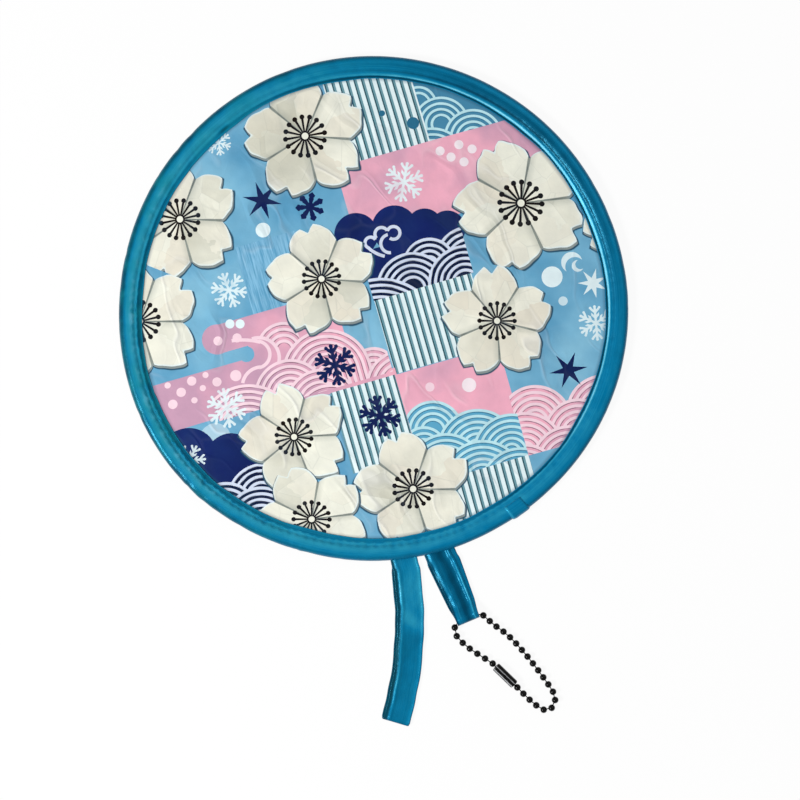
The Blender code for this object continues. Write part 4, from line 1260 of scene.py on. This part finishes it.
class FAN_OT_cloth(Operator):
    """Build the printed cloth disc."""

    bl_idname = "fan.cloth"
    bl_label = "Printed cloth"

    def execute(self, context):
        """Turn a thin closed section about the disc's middle, and raise its creases."""
        sizes, colours = settings()
        half, steps, rings = 0.2, 288, 70
        out = np.linspace(0.0, CLOTH_RADIUS, rings)
        radius = np.concatenate([out, [CLOTH_RADIUS + 0.1], out[::-1]])
        level = np.concatenate([np.full(rings, half), [0.0], np.full(rings, -half)])
        bearing = np.linspace(0.0, TURN, steps, endpoint=False)[:, None]
        x, y = radius * np.sin(bearing), -radius * np.cos(bearing)
        drawn = 1.0 + rim_drift(bearing) * smooth_step(radius, 70.0, 91.0) / 91.0
        rise = cloth_creases(x, y, sizes.seed + 1, 80)
        rise *= sizes.crease_depth / MM * smooth_step(radius, 89.5, 78.0)
        height = TUBE_LEVEL + level + rise
        spots = np.stack([x * drawn, y * drawn, height], axis=-1) * MM + MIDDLE
        chart = np.stack([x, y], axis=-1) / CHART_WIDTH + 0.5
        chart = np.concatenate([chart, chart[:1]])
        printed = print_group(colours)
        face, back = (material_named(name, print_material, colours, printed, faded)
                      for name, faded in (("printed cloth", False), ("printed cloth back", True)))
        piece = make_surface("printed_cloth", spots, (True, False), chart, None, face)
        piece.data.materials.append(back)
        normals = np.zeros(len(piece.data.polygons) * 3, np.float32)
        piece.data.polygons.foreach_get("normal", normals)
        below = (normals[2::3] < 0.0).astype(np.int32)
        piece.data.polygons.foreach_set("material_index", below)
        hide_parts("fabric_lower", "fabric_upper")
        across_hinge(piece)
        return {"FINISHED"}


class FAN_OT_stitches(Operator):
    """Sew the needle and the bobbin thread through the flange."""

    bl_idname = "fan.stitches"
    bl_label = "Stitches"

    def execute(self, context):
        """Repeat one arched stitch round the seam, above and below."""
        sizes, colours = settings()
        thread = material_named("sewing thread", thread_material, colours)
        radius = sizes.thread_diameter / 2.0
        count = round(TURN * SEAM_RADIUS * MM / sizes.stitch_pitch)
        share = np.linspace(-1.0, 1.0, 9)
        side = np.linspace(0.0, TURN, 7, endpoint=False)
        thick = radius * (1.0 - share ** 6)[:, None]
        start = np.arange(count)[:, None, None] / count * TURN
        bearing = start + share[:, None] * (0.40 * TURN / count)
        seam = (SEAM_RADIUS + rim_drift(bearing)) * MM
        arch = 0.80 * MM + radius - 0.30 * MM * share[:, None] ** 4
        chart = grid(share * sizes.stitch_pitch / 2.0, np.linspace(0.0, TURN * radius, 8))
        for name, nodes, face in (("needle_stitches", "needle_thread", 1.0),
                                  ("bobbin_stitches", "bobbin_thread", -1.0)):
            height = TUBE_LEVEL * MM + face * (arch + thick * np.sin(side))
            spots = polar_spot(bearing, seam + thick * np.cos(side), height)
            piece = make_surface(name, spots, (False, True), chart, None, thread)
            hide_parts(nodes + "_lower", nodes + "_upper")
            across_hinge(piece)
        return {"FINISHED"}


class FAN_OT_hoop(Operator):
    """Build the flat steel spring inside the binding."""

    bl_idname = "fan.hoop"
    bl_label = "Spring hoop"

    def execute(self, context):
        """Carry the wire's rounded section round the disc, and finish the sleeve over its ends."""
        _, colours = settings()
        steel = material_named("spring steel", metal_material, colours.steel, 0.28, 0.15, 1.0)
        angle = np.linspace(0.0, TURN, 16, endpoint=False) + TURN / 32.0
        cosine, sine = np.cos(angle), np.sin(angle)
        out = np.sign(cosine) * np.abs(cosine) ** 0.5 * WIRE_HALVES[0]
        rise = np.sign(sine) * np.abs(sine) ** 0.3 * WIRE_HALVES[1]
        bearing = np.linspace(0.0, TURN, 360, endpoint=False)[:, None]
        spots = polar_spot(bearing, (TUBE_RADIUS + out) * MM, (TUBE_LEVEL + rise) * MM)
        piece = make_surface("hoop_spring", spots, (True, True), None, None, steel)
        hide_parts("hoop_wire_upper", "hoop_wire_lower_left", "hoop_wire_lower_right")
        across_hinge(piece)
        sleeve = material_named("sleeve metal", metal_material, colours.steel, 0.3, 0.2, 1.0)
        node = frame["nodes"]["hoop_joint_sleeve"]
        node.data.materials.clear()
        node.data.materials.append(sleeve)
        return {"FINISHED"}


class FAN_OT_lap(Operator):
    """Build the turned-over end of the binding tape."""

    bl_idname = "fan.lap"
    bl_label = "Binding lap"

    def execute(self, context):
        """Lay a thin shell over the tube's section, thinning to nothing at its edges."""
        upper = np.array(BINDING_EDGE)
        line = smooth_line(np.vstack([upper[10:], [RIM_POINT], mirrored(upper)[:6]]), 26)
        normals = side_normals(line)
        share, edge = np.linspace(-1.0, 1.0, 30)[:, None], np.linspace(-1.0, 1.0, 26)
        rise = 0.12 + 0.42 * (1.0 - share ** 10) * (1.0 - edge ** 12)
        rise += 0.10 * bump(share, edge * 0.25 - 0.55, 0.16)
        over = line + normals * rise[..., None]
        under = np.broadcast_to(line + normals * 0.02, over.shape)
        both = np.concatenate([over, under[:, ::-1]], axis=1)
        middle = (over[[0, -1]] + under[[0, -1]]) / 2.0
        caps = np.concatenate([middle, middle[:, ::-1]], axis=1)
        both = np.concatenate([caps[:1], both, caps[1:]])
        bearing = math.radians(LAP_BEARING) + share * (LAP_HALF / TUBE_RADIUS)
        bearing = np.concatenate([bearing[:1], bearing, bearing[-1:]])
        skew = np.concatenate([edge, edge[::-1]]) * math.radians(0.35)
        radius = both[..., 0] + rim_drift(bearing + skew)
        height = np.clip(both[..., 1], 0.0, None)
        spots = polar_spot(bearing + skew, radius * MM, height * MM)
        wide = np.concatenate([np.linspace(0.0, 13.0, 52), [13.5]])
        chart = grid(bearing[:, 0] * TUBE_RADIUS, wide) * MM
        # Painted highlight along the lap's fold, near one end
        tone = 0.5 * bump(bearing, bearing[2] + 0.004, 0.004)
        tone = np.broadcast_to(tone, spots.shape[:2])
        piece = make_surface("binding_turn_over", spots, (False, True), chart, tone, satin())
        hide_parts("binding_lap")
        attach(piece, "fan_lower")
        return {"FINISHED"}


def tape_section(width, thickness):
    """Return a tape's section as (side, rise): two long faces and round edges."""
    side = np.linspace(-1.0, 1.0, 27)
    half, curve = width / 2.0, thickness / 2.0
    edge = np.linspace(-QUARTER_TURN, QUARTER_TURN, 7)[1:-1]
    right = np.stack([half - curve + curve * np.cos(edge), -curve * np.sin(edge)], axis=-1)
    upper = level_line(side * (half - curve), curve)
    return np.vstack([upper, right, upper[::-1] * (1.0, -1.0), right[::-1] * (-1.0, 1.0)])


def level_line(along, height):
    """Return places (along, height) that all have the same height."""
    return np.column_stack([along, np.full(len(along), height)])


def curl(end, low, radius, angle):
    """Return places on an arc that leads on from a level line's end, up and back."""
    return np.stack([end + radius * np.cos(angle), low + radius * (1.0 + np.sin(angle))], axis=-1)


def tape_root(bearing):
    """Return where a tape leaves the tube, as seen from the disc's middle."""
    return heading_vector(np.radians(bearing))[0] * TAPE_REACH * MM


def hinge_band(root, heading):
    """Return both ends of a stretch along a tape beside its seam, at the hinge's height."""
    ahead = heading_vector(np.array(heading))[0]
    return [tuple(np.append(root + ahead * off * MM, TAPE_HINGE * MM) + MIDDLE)
            for off in TAPE_BEND]


def tape_loop(name, path, section, run, relief, shift, shade):
    """Carry a tape's section along a folded path.

    path holds (along, height); run turns an along into a middle, a heading and
    the share of the full width. A place is middle + right * side + up * height,
    with the section's rise laid along the path's own normal. relief lifts the
    tape by side and along, shift slides it sideways and shade gives its painted
    light and shade; all three know the layer, 0 for the lower and 1 for the upper.
    """
    normals = side_normals(path)
    fold = int(np.argmax(path[:, 0]))
    walked = walked_length(path)
    layer = smooth_step(walked, walked[fold] - 1.5 * MM, walked[fold] + 1.5 * MM)[:, None]
    side, rise = section[:, 0][None], section[:, 1][None]
    along = path[:, :1] + normals[:, :1] * rise
    height = path[:, 1:] + normals[:, 1:] * rise + relief(side, path[:, :1], layer)
    middle, heading, share = run(along)
    right = heading_vector(heading)[1]
    flat = middle + right * (side * share + shift(path[:, :1], layer))[..., None]
    spots = np.concatenate([flat, np.clip(height, 0.0, None)[..., None]], axis=-1) + MIDDLE
    caps = np.broadcast_to(spots[[0, -1]].mean(axis=1, keepdims=True), spots[[0, -1]].shape)
    spots = np.concatenate([caps[:1], spots, caps[1:]])
    ring = walked_length(np.vstack([section, section[:1]]))
    steps = np.concatenate([walked[:1], walked, walked[-1:]])
    chart = grid(steps, ring)
    tone = shade(side, path[:, :1], layer) + np.zeros(spots[1:-1].shape[:2])
    tone = np.concatenate([tone[:1], tone, tone[-1:]])
    return make_surface(name, spots, (False, True), chart, tone, satin())


class FAN_OT_strap(Operator):
    """Build the long strap: a flat loop of satin tape."""

    bl_idname = "fan.strap"
    bl_label = "Strap"

    def execute(self, context):
        """Bend a folded tape along an arc whose heading turns evenly."""
        sizes, _ = settings()
        first, last = (math.radians(heading) for heading in STRAP_HEADINGS)
        length, thickness = STRAP_LENGTH * MM, sizes.tape_thickness
        low, high = (level * MM for level in TAPE_LEVELS)
        root = tape_root(STRAP_BEARING)

        def run(along):
            """Follow the arc: its chord is along * sin(bow) / bow, at the mean heading."""
            heading = first + (last - first) * along / length
            mean, bow = (first + heading) / 2.0, (heading - first) / 2.0
            chord = along * np.sinc(bow / math.pi)
            return root + heading_vector(mean)[0] * chord[..., None], heading, 1.0

        def relief(side, along, layer):
            """Raise a ridge on the left, the right edge and cross folds, round a long hollow."""
            u, s = side / (sizes.strap_width / 2.0), along / length
            ridge = 0.34 * bump(u, 0.06 * np.sin(9.0 * s) - 0.62, 0.13)
            hollow = 0.16 * bump(u, 0.05, 0.5) * (0.6 + 0.4 * np.sin(11.0 * s + 1.0))
            cross = 0.17 * ripple(s + 0.12 * u, 11, (2, 3, 5, 8, 13))
            edge = 0.18 * bump(u, 0.92, 0.10)
            return layer * (ridge - hollow + cross + edge) * MM * smooth_step(s, 1.0, 0.97)

        def shift(along, layer):
            """Slide the upper layer to the right of the lower one, and let both waver."""
            s = along / length
            apart = (layer - 0.5) * 0.9 * smooth_step(s, 0.0, 0.05)
            return (apart + 0.12 * ripple(s, 12, (3, 5, 7))) * MM

        def shade(side, along, layer):
            """Paint light on the ridge and two stretches, and paint shade on the rest, the edges
            and the lower layer.
            """
            u, s = side / (sizes.strap_width / 2.0), along / length
            lit = 0.8 * bump(u, -0.64, 0.06) * (0.55 + 0.45 * ripple(s, 13, (2, 3, 7)))
            band = 0.15 * bump(s, 0.16, 0.12) + 0.35 * bump(s, 0.36 + 0.05 * u, 0.05)
            band = band - 0.5 * bump(s, 0.50 - 0.06 * u, 0.10) - 0.3 * smooth_step(s, 0.5, 0.7)
            edges = 1.5 * smooth_step(u, -0.69, -0.77) + 0.6 * smooth_step(u, 0.92, 0.99)
            edges = edges - 0.3 * smooth_step(u, 0.5, 0.9)
            tone = lit + band * smooth_step(u, -0.7, -0.4) - edges
            return layer * tone - (1.0 - layer) * 1.4

        radius = (high - low) / 2.0
        end = length - radius - thickness / 2.0
        out = np.linspace(-TAPE_TUCK * MM, end, 134)
        fold = curl(end, low, radius, np.linspace(-QUARTER_TURN, QUARTER_TURN, 9)[1:-1])
        path = np.vstack([level_line(out, low), fold, level_line(out[::-1], high)])
        section = tape_section(sizes.strap_width, thickness)
        piece = tape_loop("strap_loop", path, section, run, relief, shift, shade)
        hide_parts("retaining_strap")
        start, end = hinge_band(root, first)
        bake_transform(piece)
        return {"FINISHED"}


class FAN_OT_tab(Operator):
    """Build the short tab, folded round the chain."""

    bl_idname = "fan.tab"
    bl_label = "Tab"

    def execute(self, context):
        """Bend a narrowing tape round the chain's tunnel and lay it back on itself."""
        sizes, _ = settings()
        heading, bearing = math.radians(TAB_HEADING), math.radians(TAB_BEARING)
        length = TAB_LENGTH * MM
        root_width, end_width = (width * MM for width in TAB_WIDTHS)
        low, high = (level * MM for level in TAPE_LEVELS)
        root = tape_root(TAB_BEARING)

        def run(along):
            """Run straight, and turn the tape's width from the seam's line to square across."""
            share = np.clip(along / length, 0.0, 1.0)
            turned = bearing + (heading - bearing) * np.minimum(share * 2.0, 1.0)
            middle = root + heading_vector(heading)[0] * along[..., None]
            return middle, turned, 1.0 + (end_width / root_width - 1.0) * share

        def relief(side, along, layer):
            """Raise two ridges along the tape and low cross folds, less towards the tunnel."""
            u, s = side / (root_width / 2.0), along / length
            left = 0.55 * bump(u, -0.62 - 0.05 * np.sin(7.0 * s), 0.16)
            right = 0.85 * bump(u, 0.55 + 0.12 * s, 0.13)
            cross = 0.10 * ripple(s + 0.2 * u, 21, (2, 3, 5, 9))
            flat = smooth_step(s, 1.02, 0.75) * 0.75 + 0.25
            return layer * (left + right + cross) * MM * flat

        def shift(along, layer):
            """Slide the upper layer to the right of the lower one, but not at either end."""
            s = along / length
            return (layer - 0.5) * MM * smooth_step(s, 0.0, 0.1) * smooth_step(s, 0.92, 0.7)

        def shade(side, along, layer):
            """Paint highlights on both ridges, and paint shade in the hollow between them, on the
            edges and on the lower layer.
            """
            u, s = side / (root_width / 2.0), along / length
            dark = 0.8 * bump(u, 0.15 * s - 0.05, 0.36)
            right = bump(u, 0.53 + 0.12 * s, 0.06) * smooth_step(s, 0.0, 0.25)
            left = 0.7 * bump(u, -0.52, 0.05) * smooth_step(s, 0.2, 0.5)
            left = left * (0.6 + 0.4 * np.sin(17.0 * s))
            edges = 0.25 + 0.9 * smooth_step(u, -0.75, -0.92) + 0.5 * smooth_step(u, 0.93, 0.99)
            return layer * (right + left - dark - edges) - (1.0 - layer) * 1.3

        radius = TUNNEL_RADIUS * MM
        end = length - radius - low
        out = np.linspace(-TAPE_TUCK * MM, end, 64)
        bend = curl(end, low, radius, np.radians(np.linspace(-90.0, 110.0, 21))[1:])
        fall = np.array([end, 0.0]) + np.array(TAB_FALL) * (-MM, MM)
        back = smooth_line(np.vstack([bend[-1:], fall]), 16)[1:]
        rest = np.linspace(fall[-1, 0], -TAPE_TUCK * MM, 44)[1:]
        path = np.vstack([level_line(out, low), bend, back, level_line(rest, high)])
        section = tape_section(root_width, sizes.tape_thickness)
        piece = tape_loop("tab_fold", path, section, run, relief, shift, shade)
        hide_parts("chain_tab")
        start, end = hinge_band(root, heading)
        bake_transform(piece)
        mean = (root_width + end_width) / 2.0
        2.0 * mean * length
        return {"FINISHED"}


def around(middle, line, along, radius, angle):
    """Return places at distances along a line, and at radii and angles round it.

    An angle is counted from the line's level side, upwards.
    """
    ahead = line / np.linalg.norm(line)
    side = np.cross(ahead, (0.0, 0.0, 1.0))
    side /= np.linalg.norm(side)
    up = np.cross(side, ahead)
    return middle + ahead * along + radius * (side * np.cos(angle) + up * np.sin(angle))


class FAN_OT_chain(Operator):
    """Build the chain's balls, each with the wire to the next."""

    bl_idname = "fan.chain"
    bl_label = "Ball chain"

    def execute(self, context):
        """Turn each ball's outline, with a waisted wire, about the line to the next ball."""
        sizes, colours = settings()
        black = material_named("black lacquer", metal_material, colours.lacquer, 0.10, 0.14, 0.0)
        radius, wire = sizes.bead_diameter / 2.0, sizes.wire_diameter / 2.0
        centres = np.array(BEADS) * MM + MIDDLE
        centres[:, 2] = np.maximum(centres[:, 2], radius)
        steps = np.diff(centres, axis=0)
        steps = np.vstack([steps, steps[-1:]])
        polar = np.linspace(TURN * 0.44, TURN * 0.06, 22)
        ball = np.stack([np.cos(polar), np.sin(polar)], axis=-1)
        head = np.vstack([[(-0.80, 0.0), (-0.80, 0.24)], ball, [(0.86, 0.30)]]) * radius
        angle = np.linspace(0.0, TURN, 22, endpoint=False)[:, None, None]
        for number, (centre, step) in enumerate(zip(centres, steps), start=1):
            reach = np.linalg.norm(step)
            tail = [(0.84 * radius, 0.0)]
            if number < len(centres):
                tail = [(0.86 * radius, wire), (reach / 2.0, wire * 0.9),
                        (reach - 0.86 * radius, wire), (reach - 0.80 * radius, 0.0)]
            outline = np.vstack([head, tail])
            spots = around(centre, step, outline[None, :, :1], outline[None, :, 1:], angle)
            piece = make_surface(f"ball_{number:02d}", spots, (True, False), None, None, black)
            node = f"chain_bead_{number:02d}"
            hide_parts(node)
            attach(piece, frame["nodes"][node]["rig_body"])
        return {"FINISHED"}


class FAN_OT_clasp(Operator):
    """Build the chain's clasp."""

    bl_idname = "fan.clasp"
    bl_label = "Clasp"

    def execute(self, context):
        """Wrap a lipped sheet most of the way round the line between its two balls."""
        sizes, colours = settings()
        ends = np.array([BEADS[-1], BEADS[0]]) * MM + MIDDLE
        middle, line = ends.mean(axis=0), ends[1] - ends[0]
        # Two painted highlights along the clasp
        highlight_lines = colours.rubbed[:], tuple(middle / MM), math.atan2(line[1], line[0])
        black = material_named("rubbed lacquer", metal_material, colours.lacquer, 0.10, 0.14, 0.0,
                               highlight_lines)
        half, outer = sizes.clasp_length / 2.0, sizes.clasp_diameter / 2.0
        wall, lip, knee = CLASP_WALL * MM, CLASP_LIP * MM, CLASP_KNEE * MM
        corner = np.linspace(0.0, QUARTER_TURN, 6)
        shoulder = np.stack([np.sin(corner), np.cos(corner)], axis=-1) * knee
        shoulder += (half - knee, outer - knee)
        body = level_line(np.linspace(0.0, half - knee, 6)[:-1], outer)
        right = np.vstack([body, shoulder, [(half, lip)]])
        inner = np.column_stack([np.minimum(right[:, 0], half - wall),
                                 np.maximum(right[:, 1] - wall, lip)])
        over, under = (np.vstack([side[::-1] * (-1.0, 1.0), side[1:]]) for side in (right, inner))
        loop, seam = np.vstack([over, under[::-1]]), (over + under) / 2.0
        seam = np.vstack([seam, seam[::-1]])
        angle = np.concatenate([[0.0], np.linspace(0.0, 300.0, 41), [300.0]])
        rings = np.broadcast_to(loop, (41, *loop.shape))
        rings = np.concatenate([seam[None], rings, seam[None]])
        spots = around(middle, line, rings[..., :1], rings[..., 1:],
                       np.radians(angle)[:, None, None])
        piece = make_surface("clasp_sleeve", spots, (False, True), None, None, black)
        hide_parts("chain_clasp")
        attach(piece, "clasp")
        return {"FINISHED"}


def add_lamp(name, spot, aim, energy, size):
    """Add a round lamp at a place, turned towards another."""
    lamp = bpy.data.lights.new(name, "AREA")
    lamp.energy = energy
    lamp.shape = "DISK"
    lamp.size = size
    item = bpy.data.objects.new(name, lamp)
    item.location = spot
    ahead = np.array(aim) - np.array(spot)
    yaw = math.atan2(ahead[1], ahead[0])
    pitch = math.acos(-ahead[2] / np.linalg.norm(ahead))
    item.rotation_euler = (pitch, 0.0, yaw - QUARTER_TURN)
    bpy.context.scene.collection.objects.link(item)


class FAN_OT_stage(Operator):
    """Set up the floor, the lamps and the camera."""

    bl_idname = "fan.stage"
    bl_label = "Stage"

    def execute(self, context):
        """Look straight down at the fan on a white floor, lit from the lower left."""
        sizes, _ = settings()
        scene = bpy.context.scene
        scene.view_settings.view_transform = "Standard"
        aim = MIDDLE + np.array(VIEW_MIDDLE) * MM
        camera = bpy.data.objects.new("fan_camera", bpy.data.cameras.new("fan_camera"))
        camera.data.lens = camera.data.sensor_width * sizes.camera_height / sizes.view_width
        camera.data.clip_start = 0.01
        camera.location = aim + (0.0, 0.0, sizes.camera_height)
        scene.collection.objects.link(camera)
        scene.camera = camera

        material, bench = blank_material("white floor")
        rays = bench.node("ShaderNodeLightPath")
        seen = bench.term(rays, 0) | bench.term(rays, 3) | bench.term(rays, 6)
        paper = bench.term(bench.node("ShaderNodeBsdfDiffuse", {"Color": (0.86, 0.86, 0.86, 1.0)}))
        glow = bench.term(bench.node("ShaderNodeEmission", {"Color": WHITE, "Strength": 1.0}))
        both = bench.node("ShaderNodeMixShader", {0: seen * 0.93, 1: paper, 2: glow})
        bench.node("ShaderNodeOutputMaterial", {"Surface": bench.term(both)})
        across = np.linspace(-3.0, 3.0, 3)
        spots = np.insert(grid(across, across), 2, FLOOR_LEVEL * MM, axis=-1)
        floor = make_surface("floor", spots, material=material)
        if floor.data.polygons[0].normal.z < 0.0:
            floor.data.flip_normals()

        world = bpy.data.worlds.new("studio")
        world.use_nodes = True
        sky = world.node_tree.nodes["Background"]
        sky.inputs["Color"].default_value = WHITE
        sky.inputs["Strength"].default_value = 0.33
        scene.world = world
        for name, spot, energy, size in LAMPS:
            add_lamp(name, aim + spot, aim, energy, size)
        return {"FINISHED"}


STEPS = (FAN_OT_stage, FAN_OT_hoop, FAN_OT_binding, FAN_OT_lap, FAN_OT_cloth, FAN_OT_stitches,
         FAN_OT_strap, FAN_OT_tab, FAN_OT_chain, FAN_OT_clasp)


class FAN_PT_maker(Panel):
    """Lists the fan's pieces and their settings."""

    bl_idname = "FAN_PT_maker"
    bl_label = "Hand Fan"
    bl_space_type = "VIEW_3D"
    bl_region_type = "UI"
    bl_category = "Hand Fan"

    def draw(self, context):
        """Draw a button for each piece, then the sizes and the colours."""
        for step in STEPS:
            self.layout.operator(step.bl_idname)
        for group in settings():
            box = self.layout.box()
            for name in group.__annotations__:
                box.prop(group, name)


CLASSES = (FanSizes, FanColours, *STEPS, FAN_PT_maker)


def register():
    """Add the classes and the scene's settings."""
    for item in CLASSES:
        bpy.utils.register_class(item)
    bpy.types.Scene.fan_sizes = PointerProperty(type=FanSizes)
    bpy.types.Scene.fan_colours = PointerProperty(type=FanColours)


def unregister():
    """Remove the settings and the classes."""
    del bpy.types.Scene.fan_colours
    del bpy.types.Scene.fan_sizes
    for item in reversed(CLASSES):
        bpy.utils.unregister_class(item)


def main():
    """Build every piece."""
    register()
    for step in STEPS:
        group, name = step.bl_idname.split(".")
        getattr(getattr(bpy.ops, group), name)()


if __name__ == "__main__":
    main()
